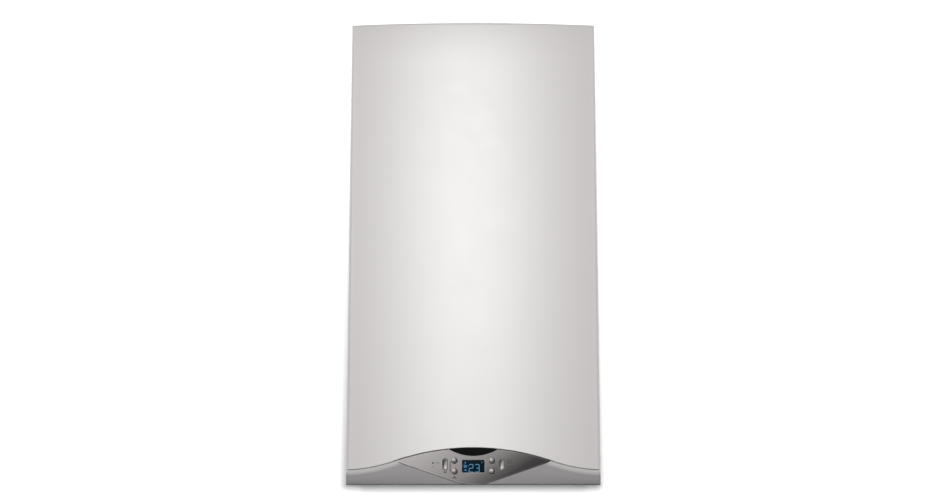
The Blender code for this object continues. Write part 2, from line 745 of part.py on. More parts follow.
def key_holes(clearance, window_margin):
    """Cutters for the buttons, the rocker keys and the display."""
    low, high = -CASE_DEPTH - 0.005, -BOARD_FRONT
    cutters = []
    for _, x, z in button_places():
        cutters.append(cylinder("hole", "y", (x, 0, z), BUTTON_RADIUS + GAP, low, high, 16))
    for _, x in rocker_places():
        outline = capsule(x, ROCKER_CENTRE, ROCKER_WIDTH + 2 * GAP, ROCKER_HEIGHT + 2 * clearance)
        cutters.append(prism("hole", outline, "y", low, high))
    half = DISPLAY_WIDTH / 2 + window_margin
    tall = DISPLAY_HEIGHT / 2 + window_margin
    cutters.append(block("hole", (-half, low, DISPLAY_CENTRE - tall), (half, high, DISPLAY_CENTRE + tall)))
    return cutters


def fascia():
    outer = []
    cavity = []
    back = COVER_BACK + SHUT_LINE
    for x in front_stations():
        high = seam_height(x) - SHUT_LINE / 2
        distance = front_distance(x) - SET_BACK
        outer.append(front_section(x, distance, back, 0, high, FASCIA_WALL / 2, FASCIA_LIP))
    for x in front_stations(FASCIA_WALL):
        high = seam_height(x) - SHUT_LINE / 2 - FASCIA_WALL
        bend = FASCIA_LIP - FASCIA_WALL
        cavity.append(front_section(x, fascia_inner(x), back - 0.03, FASCIA_WALL, high, EDGE_SOFTENING, bend))
    shell = cut(loft("fascia", outer), loft("cavity", cavity))
    half = HALF_WIDTH - FASCIA_WALL
    clear = BOX_FRONT + 0.003
    cut(shell, block("clear", (-half, -clear, FASCIA_WALL), (half, -back + 0.03, SEAM_ARCH_HEIGHT * 2)))
    cut(shell, *key_holes(KEY_CLEARANCE, -0.001))
    return finish_off(shell, GREY_PLASTIC)


def eye_panel():
    half = EYE_HALF_WIDTH - EYE_TIP
    plate = front_plate(
        "eye_panel", half, 22, eye_bottom, lambda x: seam_height(x) - SHUT_LINE / 2, 0, EYE_THICKNESS
    )
    above = SEAM_ARCH_HEIGHT * 1.3
    badge = front_plate(
        "badge", BADGE_HALF_WIDTH, 12, lambda x: badge_bottom(x) - GAP, lambda x: above, -EYE_TIP, 3 * EYE_TIP
    )
    cut(plate, badge, *key_holes(KEY_CLEARANCE, GAP))
    return finish_off(plate, SILVER)


def badge_crescent():
    half = BADGE_HALF_WIDTH - 0.0015
    badge = front_plate(
        "badge_crescent", half, 12, badge_bottom, lambda x: seam_height(x) - SHUT_LINE / 2, 0, EYE_THICKNESS
    )
    return finish_off(badge, BLACK_GLOSS)


def display_window():
    front = CASE_DEPTH - WINDOW_SUNK
    half = DISPLAY_WIDTH / 2
    tall = DISPLAY_HEIGHT / 2
    low = (-half, -front, DISPLAY_CENTRE - tall)
    high = (half, -(CASE_DEPTH - EYE_THICKNESS + GAP), DISPLAY_CENTRE + tall)
    return finish_off(block("display_window", low, high), GLASS, smooth=False)


def display_board():
    """Board with the display module, bearings for the rocker keys and four spacers to the fascia."""
    half = ROCKER_REACH + DISPLAY_HEIGHT
    margin = DISPLAY_HEIGHT * 0.95
    foot = DISPLAY_CENTRE - margin
    board_back = -(BOARD_FRONT - BOARD_THICKNESS)
    sunk = -BOARD_FRONT + BOARD_THICKNESS / 3
    board = block("display_board", (-half, -BOARD_FRONT, foot), (half, board_back, DISPLAY_CENTRE + margin))
    module_front = -(CASE_DEPTH - EYE_THICKNESS)
    wide = DISPLAY_WIDTH / 2 - 0.0015
    tall = DISPLAY_HEIGHT / 2 - 0.0015
    low = (-wide, module_front, DISPLAY_CENTRE - tall)
    join(board, block("module", low, (wide, sunk, DISPLAY_CENTRE + tall)))
    for _, x in rocker_places():
        saddle = fascia_inner(x) - ROCKER_AXIS_DEPTH - ROCKER_PIN - GAP
        for side in (-1, 1):
            middle = x + side * (ROCKER_WIDTH / 2 + 0.0012)
            low = (middle - 0.0007, -saddle, ROCKER_CENTRE - 0.002)
            join(board, block("saddle", low, (middle + 0.0007, sunk, ROCKER_CENTRE + 0.002)))
    for side in (-1, 1):
        x = side * (half - POST_RADIUS - BOARD_THICKNESS)
        reach = fascia_inner(half) - GAP
        for z in (foot + 2 * POST_RADIUS, foot + DISPLAY_HEIGHT * 1.5):
            join(board, cylinder("spacer", "y", (x, 0, z), POST_RADIUS, -reach, sunk, 10))
    return finish_off(board, BOARD_GREEN)


def buttons():
    """Domed caps with a flange that keeps them behind the fascia."""
    made = []
    for name, x, z in button_places():
        front = -(front_distance(x) + BUTTON_PROUD)
        flange = -(fascia_inner(x) - 2 * GAP)
        shoulder = front + 0.0016
        back = flange + 0.001
        profile = [(0, front), (BUTTON_RADIUS * 0.55, front + 0.0004), (BUTTON_RADIUS * 0.85, front + 0.001)]
        profile += [(BUTTON_RADIUS, shoulder), (BUTTON_RADIUS, flange), (FLANGE_RADIUS, flange)]
        profile += [(FLANGE_RADIUS, back), (0, back)]
        button = finish_off(lathe(name, profile, "y", (x, 0, z), 16), SILVER)
        made.append(pivot(button, (x, -front_distance(x), z)))
    return made


def rockers():
    """Oval keys on two small pins behind the fascia's wall, which tip up and down."""
    made = []
    for name, x in rocker_places():
        front = front_distance(x) + ROCKER_PROUD
        axis = fascia_inner(x) - ROCKER_AXIS_DEPTH
        key = prism(name, capsule(x, ROCKER_CENTRE, ROCKER_WIDTH, ROCKER_HEIGHT), "y", -front, -axis + 0.0015)
        scoop = ROCKER_HEIGHT * 1.1
        dish = cylinder("dish", "x", (x, -front - scoop + 0.0022, ROCKER_CENTRE), scoop, -0.01, 0.01, 36)
        cut(key, dish)
        reach = ROCKER_WIDTH / 2 + 0.0021
        join(key, cylinder("pins", "x", (x, -axis, ROCKER_CENTRE), ROCKER_PIN, -reach, reach, 10))
        finish_off(key, SILVER)
        made.append(pivot(key, (x, -axis, ROCKER_CENTRE)))
    return made


def box_outline():
    """The electronics box from the side, with its upper front sloped to clear the cover as it swings."""
    floor = FASCIA_WALL + GAP
    front = [(-BOX_FRONT, floor), (-BOX_FRONT, BOX_SLOPE_FOOT), (-BOX_SLOPE_TOP, BOX_TOP)]
    return front + [(-BOX_REAR, BOX_TOP), (-BOX_REAR, floor)]


def control_box():
    """Open-backed moulded box with a hinge lug and a trunnion at each end."""
    half = BOX_WIDTH / 2
    wall = FASCIA_WALL
    box = prism("control_box", box_outline(), "x", -half, half)
    cavity = [
        (-(BOX_FRONT - wall), 2 * wall + GAP),
        (-(BOX_FRONT - wall), BOX_SLOPE_FOOT - wall / 2),
        (-(BOX_SLOPE_TOP - wall / 2), BOX_TOP - wall),
        (-(BOX_REAR - wall), BOX_TOP - wall),
        (-(BOX_REAR - wall), 2 * wall + GAP),
    ]
    cut(box, prism("cavity", cavity, "x", -half + wall, half - wall))
    lug_front = HINGE_FROM_WALL + 0.018
    lug_back = HINGE_FROM_WALL - 0.006
    floor = FASCIA_WALL + GAP
    for side in (-1, 1):
        inner, outer = sorted((side * (half - wall), side * (half + wall)))
        join(box, block("lug", (inner, -lug_front, floor), (outer, -lug_back, HINGE_HEIGHT + 0.006)))
        along = sorted((side * half, side * (INNER_HALF - 3 * SHEET)))
        join(box, cylinder("trunnion", "x", hinge_axis(), TRUNNION_RADIUS, *along, 12))
    return finish_off(box, DARK_PLASTIC)


def control_box_cover():
    """Lid in the back of the electronics box."""
    margin = FASCIA_WALL + GAP
    half = BOX_WIDTH / 2 - margin
    low = (-half, -(BOX_REAR + 0.004), 2 * FASCIA_WALL + 2 * GAP)
    return finish_off(block("control_box_cover", low, (half, -BOX_REAR, BOX_TOP - margin)), DARK_PLASTIC)


def main_board():
    """The boiler's electronics on four posts from the box's floor."""
    half = BOX_WIDTH / 2 - FASCIA_WALL - BOARD_MARGIN
    height = FASCIA_WALL * 2 + BOARD_LIFT
    front, back = BOX_FRONT - BOARD_MARGIN, BOX_REAR + BOARD_MARGIN
    board = block("main_board", (-half, -front, height), (half, -back, height + BOARD_THICKNESS))
    floor = 2 * FASCIA_WALL + 2 * GAP
    sunk = height + BOARD_THICKNESS / 2
    inset = 3 * POST_RADIUS
    for side in (-1, 1):
        for distance in (front - inset, back + inset):
            centre = (side * (half - inset), -distance, 0)
            join(board, cylinder("post", "z", centre, POST_RADIUS, floor, sunk, 10))
    middle = (front + back) / 2
    for x, size in ((half / 2, TRANSFORMER), (-half * 0.6, RELAY)):
        low = (x - size / 2, -middle - size / 2, sunk)
        join(board, block("component", low, (x + size / 2, -middle + size / 2, height + size)))
    return finish_off(board, BOARD_GREEN)


def on_drum(x_offset=0.0, z_offset=0.0):
    return (DRUM_X + x_offset, 0, DRUM_HEIGHT + z_offset)


def heat_exchanger_shell():
    """Drum with its opening to the front, a flue socket on top, two water ports, a drain and two feet."""
    rear, front = -DRUM_REAR, -DRUM_FRONT
    inner = DRUM_RADIUS - DRUM_WALL
    drum = cylinder("heat_exchanger_shell", "y", on_drum(), DRUM_RADIUS, front, rear, 24)
    flue = (0, -FLUE_FROM_WALL, 0)
    socket_foot = DRUM_HEIGHT + DRUM_RADIUS / 2
    join(drum, cylinder("socket", "z", flue, SOCKET_RADIUS, socket_foot, socket_top()))
    surface = PORT_END + 0.028
    for side in (-1, 1):
        port = (DRUM_X + side * PORT_SPACING / 2, -PORT_FROM_WALL, 0)
        join(drum, cylinder("port", "z", port, WATER_PIPE_RADIUS + 0.004, PORT_END, surface, 12))
        x = DRUM_X + side * FOOT_SPACING / 2
        low = (x - 0.012, -RAIL_FROM_WALL - RAIL_DEPTH + 0.004, RAIL_HEIGHT + GAP)
        join(drum, block("foot", low, (x + 0.012, -RAIL_FROM_WALL - 0.004, RAIL_HEIGHT + 0.028)))
    drain = (DRUM_X, -CONDENSATE_FROM_WALL, 0)
    join(drum, cylinder("drain", "z", drain, WATER_PIPE_RADIUS + 0.003, PORT_END, surface, 12))
    cut(drum, cylinder("inside", "y", on_drum(), inner, front + DRUM_WALL, rear - DRUM_WALL, 24))
    cut(drum, cylinder("opening", "y", on_drum(), DOOR_OPENING, front - 0.01, front + 2 * DRUM_WALL, 24))
    cut(drum, cylinder("bore", "z", flue, SOCKET_RADIUS - 0.0035, socket_foot - 0.02, socket_top() + 0.01))
    return finish_off(drum, WHITE_PLASTIC)


def heat_exchanger_coil():
    """The steel coil inside the drum, as a sleeve with one groove between each two turns."""
    rear, front = -DRUM_REAR - DRUM_WALL - GAP, -DRUM_FRONT + DRUM_WALL + GAP
    pitch = (front - rear) / COIL_TURNS
    profile = [(COIL_OUTER, rear), (COIL_OUTER, front)]
    for i in range(COIL_TURNS, 0, -1):
        profile += [(COIL_INNER, rear + pitch * i), (COIL_INNER, rear + pitch * (i - 0.8))]
        if i > 1:
            profile += [(COIL_INNER + 0.006, rear + pitch * (i - 0.9))]
    profile[-1] = (COIL_INNER, rear)
    return finish_off(lathe("heat_exchanger_coil", profile, "y", on_drum(), 24), STEEL)


def door_front():
    return DRUM_FRONT + GASKET + 2 * GAP + DOOR_THICKNESS


def electrode_place():
    return on_drum(x_offset=ELECTRODE_REACH)


def burner_parts():
    seal = DRUM_FRONT + GAP
    inner, outer = DOOR_OPENING + GASKET, DOOR_RADIUS - GASKET
    gasket = ring("door_gasket", "y", on_drum(), inner, outer, -seal - GASKET, -seal)
    finish_off(gasket, RUBBER)
    door_back = seal + GASKET + GAP
    door = ring("burner_door", "y", on_drum(), BURNER_RADIUS + 0.001, DOOR_RADIUS, -door_front(), -door_back)
    cut(door, cylinder("hole", "y", electrode_place(), 0.0053, -door_front() - 0.01, -door_back + 0.01, 12))
    finish_off(door, STEEL)
    flange = -(door_front() + GAP)
    wall = 0.0015
    end = flange + BURNER_LENGTH
    rim = BURNER_RADIUS + BURNER_FLANGE
    profile = [(0, end), (BURNER_RADIUS, end), (BURNER_RADIUS, flange), (rim, flange)]
    profile += [(rim, flange - wall), (BURNER_RADIUS - wall, flange - wall)]
    profile += [(BURNER_RADIUS - wall, end - wall), (0, end - wall)]
    finish_off(lathe("burner", profile, "y", on_drum(), 16), STEEL)
    tip = -(DRUM_FRONT - 0.035)
    profile = [(0, tip), (0.0015, tip), (0.0015, tip - 0.025), (0.005, tip - 0.027), (0.005, flange)]
    profile += [(ELECTRODE_RADIUS, flange), (ELECTRODE_RADIUS, flange - 0.003)]
    profile += [(0.005, flange - 0.003), (0.004, flange - 0.012)]
    profile += [(0, flange - 0.012)]
    finish_off(lathe("ignition_electrode", profile, "y", electrode_place(), 12), WHITE_PLASTIC)


def outlet_top():
    return FAN_HEIGHT + FAN_RADIUS + 0.010


def fan_middle():
    return FAN_REAR + FAN_DEPTH / 2


def mixing_manifold():
    """Duct from the fan's outlet, up and over to the burner."""
    start = door_front() + 2 * GAP + 0.0015
    lane = start + MANIFOLD_CLEARANCE
    flange = 2.5 * SHEET
    x = FAN_X - FAN_RADIUS / 2
    high = outlet_top() + MANIFOLD_RISE
    corners = [(x, -fan_middle(), outlet_top() + GAP), (x, -fan_middle(), high), (x, -lane, high)]
    corners += [(DRUM_X, -lane, DRUM_HEIGHT), (DRUM_X, -start - flange / 2, DRUM_HEIGHT)]
    duct = pipe("mixing_manifold", corners, FAN_OUTLET - 0.7 * FAN_WALL, MANIFOLD_BEND, 12)
    plate = cylinder("plate", "y", on_drum(), BURNER_RADIUS + BURNER_FLANGE, -start - flange, -start)
    return finish_off(join(duct, plate), STEEL)


def paddle_outline(inner, outer, count, thickness, centre):
    """A wheel of straight blades seen along its axis."""
    outline = []
    for k in range(count):
        turn = FULL_TURN * k / count
        for radius, side in ((inner, -1), (outer, -1), (outer, 1), (inner, 1)):
            angle = turn + side * math.asin(thickness / 2 / radius)
            outline.append((centre[0] + radius * math.cos(angle), centre[2] + radius * math.sin(angle)))
    return outline


def fan_parts():
    centre = (FAN_X, 0, FAN_HEIGHT)
    rear, front = -FAN_REAR, -(FAN_REAR + FAN_DEPTH)
    hole = SHAFT_RADIUS + SHAFT_CLEARANCE
    inlet = MIXER_RADIUS - 0.006
    inner = FAN_RADIUS - FAN_WALL
    housing = cylinder("fan_housing", "y", centre, FAN_RADIUS, front, rear, 20)
    outlet = (FAN_X - FAN_RADIUS / 2, -fan_middle(), 0)
    join(housing, cylinder("neck", "z", outlet, FAN_OUTLET, FAN_HEIGHT + FAN_RADIUS / 2, outlet_top(), 14))
    bore = FAN_OUTLET - 0.7 * FAN_WALL
    cut(housing, cylinder("bore", "z", outlet, bore, FAN_HEIGHT + 0.01, outlet_top() + 0.01, 14))
    cut(housing, cylinder("inside", "y", centre, inner, front + FAN_WALL, rear - FAN_WALL, 20))
    cut(housing, cylinder("inlet", "y", centre, inlet, rear - 2 * FAN_WALL, rear + 0.01, 16))
    cut(housing, cylinder("shaft", "y", centre, hole, front - 0.01, front + 2 * FAN_WALL, 12))
    finish_off(housing, STEEL)
    motor_back = front - GAP
    motor_front = motor_back - FAN_MOTOR_LENGTH
    bore_end = motor_back - 0.018
    profile = [(hole, motor_back), (FAN_MOTOR_RADIUS, motor_back), (FAN_MOTOR_RADIUS, motor_front + 0.006)]
    profile += [(FAN_MOTOR_RADIUS - 0.006, motor_front), (0, motor_front), (0, bore_end), (hole, bore_end)]
    finish_off(lathe("fan_motor", profile, "y", centre, 16), DARK_PLASTIC)
    disc_front = front + FAN_WALL + 0.003
    disc_back = disc_front + 0.002
    disc = cylinder("fan_impeller", "y", centre, IMPELLER_RADIUS, disc_front, disc_back, 20)
    blades = paddle_outline(0.012, IMPELLER_RADIUS - 0.001, BLADES, 0.002, centre)
    join(disc, prism("blades", blades, "y", disc_back - 0.0005, disc_back + IMPELLER_DEPTH))
    join(disc, cylinder("shaft", "y", centre, SHAFT_RADIUS, bore_end + 0.001, disc_back, 12))
    finish_off(disc, STEEL, smooth=False)
    pivot(disc, (FAN_X, -fan_middle(), FAN_HEIGHT))


def mixer_end():
    return FAN_REAR - GAP - MIXER_LENGTH


def air_and_gas_parts():
    centre = (FAN_X, 0, FAN_HEIGHT)
    front = -(FAN_REAR - GAP)
    end = -mixer_end()
    bore = MIXER_RADIUS - 0.010
    mixer = ring("air_gas_mixer", "y", centre, bore, MIXER_RADIUS, front, end, 16)
    middle = (FAN_X, (front + end) / 2, 0)
    boss_end = FAN_HEIGHT - MIXER_RADIUS - 0.012
    join(mixer, cylinder("boss", "z", middle, 0.011, boss_end, FAN_HEIGHT - bore - 0.002, 16))
    finish_off(mixer, STEEL)
    back = end + GAP + SILENCER_DEPTH
    half = SILENCER_WIDTH / 2
    foot = FAN_HEIGHT - half - 0.002
    low = (FAN_X - half, end + GAP, foot)
    silencer = block("air_silencer", low, (FAN_X + half, back, foot + SILENCER_HEIGHT))
    well = (FAN_X, (end + GAP + back) / 2, 0)
    cut(silencer, cylinder("well", "z", well, bore, FAN_HEIGHT, foot + SILENCER_HEIGHT + 0.01, 16))
    cut(silencer, cylinder("mouth", "y", centre, bore - 0.001, end - 0.01, (end + GAP + back) / 2, 16))
    finish_off(silencer, DARK_PLASTIC, smooth=False)
    top = VALVE_FOOT + GAS_VALVE_HEIGHT
    half = GAS_VALVE_WIDTH / 2
    low = (FAN_X - half, max(middle[1] - half, -FAN_REAR + FAN_WALL), VALVE_FOOT)
    valve = block("gas_valve", low, (FAN_X + half, middle[1] + half, top))
    join(valve, cylinder("outlet", "z", middle, 0.008, top - 0.001, boss_end - GAP, 12))
    for x in (FAN_X - 0.014, FAN_X + 0.014):
        coil = (x, 0, VALVE_FOOT + GAS_VALVE_HEIGHT * 0.7)
        join(valve, cylinder("coil", "y", coil, 0.012, -FAN_REAR - 0.030, -FAN_REAR + 2 * FAN_WALL, 14))
    finish_off(valve, STEEL, smooth=False)
    foot = VALVE_FOOT - GAP
    low = VALVE_FOOT - 0.110
    corners = [(0, -TAIL_FROM_WALL, TAIL_END), (0, -TAIL_FROM_WALL, low)]
    corners += [(FAN_X, middle[1], low + 0.040), (FAN_X, middle[1], foot)]
    gas = pipe("gas_pipe", corners, GAS_PIPE_RADIUS, 0.025, 8)
    finish_off(add_tail(gas, 0), BRASS)


def add_tail(body, place, nut_sides=6):
    """Connection tail with its nut on the bottom plate and an open bore."""
    centre = (place * TAIL_PITCH, -TAIL_FROM_WALL, 0)
    return tail_at(body, centre, nut_sides)


def tail_at(body, centre, nut_sides):
    top = GROUP_BASE + 0.002
    join(body, cylinder("tail", "z", centre, TAIL_RADIUS, TAIL_END, top, 14))
    join(body, cylinder("nut", "z", centre, TAIL_NUT, PLATE_TOP + GAP, PLATE_TOP + 0.014, nut_sides))
    return cut(body, cylinder("bore", "z", centre, TAIL_BORE, -TAIL_END, top - 0.008, 12))


def support_rail():
    """Angle between the side panels that carries the heat exchanger."""
    front = -RAIL_FROM_WALL - RAIL_DEPTH
    back = -RAIL_FROM_WALL
    thin = SHEET
    outline = [(back, RAIL_HEIGHT), (front, RAIL_HEIGHT), (front, RAIL_HEIGHT - RAIL_LEG)]
    outline += [(front + thin, RAIL_HEIGHT - RAIL_LEG), (front + thin, RAIL_HEIGHT - thin)]
    outline += [(back, RAIL_HEIGHT - thin)]
    finish_off(prism("support_rail", outline, "x", -INNER_HALF, INNER_HALF), STEEL, smooth=False)


def vessel_shell_profile(back, middle, sign):
    """One dished shell of the vessel from its flat face to its flange, sign +1 towards the wall."""
    radius, wall = VESSEL_RADIUS, VESSEL_WALL
    flange = middle + sign * (wall / 2 + GAP)
    outer = [(0, back), (radius - 0.035, back), (radius - 0.012, back - sign * 0.018)]
    outer += [(radius - 0.010, flange + sign * wall), (radius, flange + sign * wall), (radius, flange)]
    inner = [(radius - 0.013, flange), (radius - 0.014, back - sign * 0.020)]
    return outer + inner + [(radius - 0.036, back - sign * wall), (0, back - sign * wall)]


def expansion_vessel():
    centre = (0, 0, VESSEL_HEIGHT)
    back = -(FRAME_FRONT + GAP)
    front = back - VESSEL_DEPTH
    middle = (back + front) / 2
    rear_profile = vessel_shell_profile(back, middle, 1)
    finish_off(lathe("vessel_rear_shell", rear_profile, "y", centre, 24), RED_PAINT)
    front_profile = vessel_shell_profile(front, middle, -1)
    finish_off(lathe("vessel_front_shell", front_profile, "y", centre, 24), RED_PAINT)
    half = VESSEL_WALL / 2
    disc = cylinder("vessel_diaphragm", "y", centre, VESSEL_RADIUS - 0.001, middle - half, middle + half, 24)
    finish_off(disc, RUBBER)
    x = -0.030
    drop = (-TAIL_PITCH * 0.8, -TAIL_FROM_WALL + GROUP_DEPTH / 3)
    start, end = VESSEL_HEIGHT - VESSEL_RADIUS - GAP, group_top() + GAP
    corners = [(x, middle, start), (x, middle, between(start, end, 0.5))]
    corners += [(*drop, between(start, end, 0.73)), (*drop, end)]
    finish_off(pipe("vessel_pipe", corners, VESSEL_PIPE_RADIUS, 0.020, 8), COPPER)


def group_top():
    return GROUP_BASE + GROUP_HEIGHT


def group_block(name, side):
    """Brass block over two of the tails."""
    near = TAIL_PITCH - GROUP_MARGIN
    far = 2 * TAIL_PITCH + GROUP_MARGIN
    x = sorted((side * near, side * far))
    y = -TAIL_FROM_WALL - GROUP_DEPTH / 2
    body = block(name, (x[0], y, GROUP_BASE), (x[1], y + GROUP_DEPTH, group_top()))
    for place in (1, 2):
        add_tail(body, side * place)
    return body


def spool_place():
    return (-2 * TAIL_PITCH, -TAIL_FROM_WALL, group_top() - 0.018)


def flow_side():
    body = group_block("flow_group", -1)
    centre = (spool_place()[0], spool_place()[1], 0)
    bore = SPOOL_RADIUS + GAP
    cut(body, cylinder("bore", "z", centre, bore, group_top() - 0.030, group_top() + 0.01, 16))
    finish_off(body, BRASS)
    seat = group_top() + GAP
    stem = 0.003
    hole = stem + SHAFT_CLEARANCE
    stem_top = group_top() + 0.030
    well = stem_top + SPOOL_STROKE + 0.002
    profile = [(hole, seat), (ACTUATOR_RADIUS, seat), (ACTUATOR_RADIUS, seat + ACTUATOR_HEIGHT - 0.005)]
    profile += [(ACTUATOR_RADIUS - 0.005, seat + ACTUATOR_HEIGHT), (0, seat + ACTUATOR_HEIGHT)]
    profile += [(0, well), (hole, well)]
    finish_off(lathe("diverter_actuator", profile, "z", centre, 20), DARK_PLASTIC)
    low = spool_place()[2] - 0.005
    land = low + SPOOL_RADIUS
    profile = [(0, low), (SPOOL_RADIUS, low), (SPOOL_RADIUS, land), (stem, land), (stem, stem_top)]
    profile += [(0, stem_top)]
    pivot(finish_off(lathe("diverter_spool", profile, "z", centre, 16), BRASS), spool_place())
    x, y = -TAIL_PITCH - 0.006, -TAIL_FROM_WALL
    port = (DRUM_X - PORT_SPACING / 2, -PORT_FROM_WALL)
    end = PORT_END - GAP
    corners = [(x, y, seat), (x, y, between(seat, end, 0.27))]
    corners += [(*port, between(seat, end, 0.61)), (*port, end)]
    finish_off(pipe("flow_pipe", corners, WATER_PIPE_RADIUS, 0.030), COPPER)


def pump_x():
    return 2 * TAIL_PITCH


def handle_place():
    return (1.5 * TAIL_PITCH, -TAIL_FROM_WALL, 0)


def knob_place():
    return (pump_x(), -(TAIL_FROM_WALL + GROUP_DEPTH / 2), GROUP_BASE + GROUP_HEIGHT / 2)


def return_side():
    body = group_block("return_group", 1)
    hole = SHAFT_RADIUS + SHAFT_CLEARANCE
    x, y, z = knob_place()
    join(body, cylinder("seat", "y", (x, 0, z), 0.010, y - 0.006, y + 0.001, 16))
    cut(body, cylinder("bore", "y", (x, 0, z), hole, y - 0.01, y + 0.016, 16))
    cut(body, cylinder("bore", "z", handle_place(), hole, 0, GROUP_BASE + 0.018, 16))
    finish_off(body, BRASS)
    seat = y - 0.006 - GAP
    profile = [(0, y + 0.014), (SHAFT_RADIUS, y + 0.014), (SHAFT_RADIUS, seat), (KNOB_RADIUS, seat)]
    profile += [(KNOB_RADIUS, seat - 0.012), (KNOB_RADIUS - 0.003, seat - 0.016), (0, seat - 0.016)]
    knob = lathe("safety_valve_knob", profile, "y", (x, 0, z), 16)
    reach = KNOB_RADIUS - 0.002
    grip = block("grip", (x - 0.003, seat - 0.024, z - reach), (x + 0.003, seat - 0.015, z + reach))
    pivot(finish_off(join(knob, grip), RED_PAINT), (x, seat, z))
    hx, hy, _ = handle_place()
    outline = [(hx + a, hy + b) for a, b in capsule(0, 0, 0.010, HANDLE_LENGTH * 0.8)]
    handle = prism("filling_handle", outline, "z", TAIL_END, PLATE_HEIGHT - 0.002)
    shaft = cylinder("shaft", "z", handle_place(), SHAFT_RADIUS, PLATE_HEIGHT - 0.003, GROUP_BASE + 0.016, 16)
    pivot(finish_off(join(handle, shaft), BLUE_PLASTIC), (hx, hy, PLATE_HEIGHT - 0.002))


def pump_parts():
    centre = (pump_x(), 0, PUMP_HEIGHT)
    back = -(TAIL_FROM_WALL - PUMP_DEPTH / 2)
    front = back - PUMP_DEPTH
    cavity = PUMP_IMPELLER + 0.004
    floor = back - 0.020
    housing = cylinder("pump_housing", "y", centre, PUMP_RADIUS, front, back, 18)
    neck = (pump_x(), -TAIL_FROM_WALL, 0)
    inside = PUMP_HEIGHT - cavity - SHEET
    join(housing, cylinder("neck", "z", neck, TAIL_RADIUS, group_top() + GAP, inside, 16))
    vent_x = pump_x() + PUMP_RADIUS * 0.6
    crown = PUMP_HEIGHT + PUMP_RADIUS
    vent = (vent_x, -TAIL_FROM_WALL, 0)
    join(housing, cylinder("boss", "z", vent, 0.010, PUMP_HEIGHT + PUMP_IMPELLER * 0.6, crown, 12))
    cut(housing, cylinder("cavity", "y", centre, cavity, front - 0.01, floor, 18))
    finish_off(housing, STEEL)
    hole = SHAFT_RADIUS + SHAFT_CLEARANCE
    seat = front - GAP
    well = seat - 0.025
    end = seat - PUMP_MOTOR_LENGTH
    flange = PUMP_RADIUS - PUMP_MOTOR_RADIUS
    profile = [(hole, seat), (PUMP_RADIUS, seat), (PUMP_RADIUS, seat - flange)]
    profile += [(PUMP_MOTOR_RADIUS, seat - flange - SHEET), (PUMP_MOTOR_RADIUS, end + flange)]
    profile += [(PUMP_MOTOR_RADIUS - flange, end), (0, end), (0, well), (hole, well)]
    finish_off(lathe("pump_motor", profile, "y", centre, 16), DARK_PLASTIC)
    disc_back = floor - 0.004
    disc = cylinder("pump_impeller", "y", centre, PUMP_IMPELLER, disc_back - 0.003, disc_back, 18)
    blades = paddle_outline(0.009, PUMP_IMPELLER - 0.001, 7, 0.003, centre)
    join(disc, prism("blades", blades, "y", disc_back - 0.012, disc_back - 0.0025))
    join(disc, cylinder("shaft", "y", centre, SHAFT_RADIUS, well + 0.001, disc_back - 0.001, 12))
    pivot(finish_off(disc, BRASS, smooth=False), (pump_x(), disc_back, PUMP_HEIGHT))
    foot = crown + GAP
    top = foot + VENT_HEIGHT
    neck = VENT_RADIUS * 0.6
    taper = VENT_RADIUS - neck
    profile = [(0, foot), (neck, foot), (neck, foot + neck), (VENT_RADIUS, foot + neck + taper)]
    profile += [(VENT_RADIUS, top - neck - taper), (neck, top - neck), (neck, top), (0, top)]
    finish_off(lathe("air_vent", profile, "z", vent, 16), DARK_PLASTIC)
    y = -TAIL_FROM_WALL
    port = (DRUM_X + PORT_SPACING / 2, -PORT_FROM_WALL)
    start = PUMP_HEIGHT + PUMP_RADIUS + GAP
    lane = PORT_END - 0.049
    corners = [(pump_x(), y, start), (pump_x(), y, between(start, lane, 0.5)), (pump_x(), y - 0.015, lane)]
    corners += [(*port, lane), (*port, PORT_END - GAP)]
    finish_off(pipe("return_pipe", corners, WATER_PIPE_RADIUS, 0.020), COPPER)


def plate_heat_exchanger():
    """Stack of brazed plates in front of the two brass groups."""
    back = -(TAIL_FROM_WALL + GROUP_DEPTH / 2 + GAP)
    half = EXCHANGER_LENGTH / 2
    foot = GROUP_BASE + (GROUP_HEIGHT - EXCHANGER_HEIGHT) / 2
    outline = []
    pitch = EXCHANGER_DEPTH / PLATE_GROUPS
    top = foot + EXCHANGER_HEIGHT
    for i in range(PLATE_GROUPS):
        y = back - pitch * i
        edge = y - pitch * 0.6
        outline += [(y, top), (edge, top), (edge, top - SHEET), (y - pitch, top - SHEET)]
    outline[-1] = (back - EXCHANGER_DEPTH, top - SHEET)
    outline += [(back - EXCHANGER_DEPTH, foot), (back, foot)]
    finish_off(prism("plate_heat_exchanger", outline, "x", -half, half), STEEL, smooth=False)


def condensate_parts():
    centre = (TRAP_X, -TRAP_FROM_WALL, 0)
    foot = group_top() + 0.010
    top = foot + TRAP_HEIGHT
    profile = [(0, foot), (TRAP_RADIUS - 0.006, foot), (TRAP_RADIUS, foot + 0.008)]
    profile += [(TRAP_RADIUS, top - 0.004), (TRAP_RADIUS - 0.004, top), (0, top)]
    trap = lathe("condensate_trap", profile, "z", centre, 14)
    join(trap, cylinder("stem", "z", centre, TAIL_RADIUS, GROUP_BASE, foot + 0.002, 14))
    finish_off(tail_at(trap, centre, 8), WHITE_PLASTIC)
    drain = (DRUM_X, -CONDENSATE_FROM_WALL)
    corners = [(*drain, PORT_END - GAP), (*drain, PORT_END - 0.044), (TRAP_X, -TRAP_FROM_WALL, top + 0.060)]
    corners += [(TRAP_X, -TRAP_FROM_WALL, top + GAP)]
    finish_off(pipe("condensate_hose", corners, WATER_PIPE_RADIUS - 0.001, 0.022), DARK_PLASTIC)


def keep_place_under(obj, empty):
    """Parent without moving."""
    obj.parent = empty
    obj.matrix_parent_inverse = empty.matrix_world.inverted()


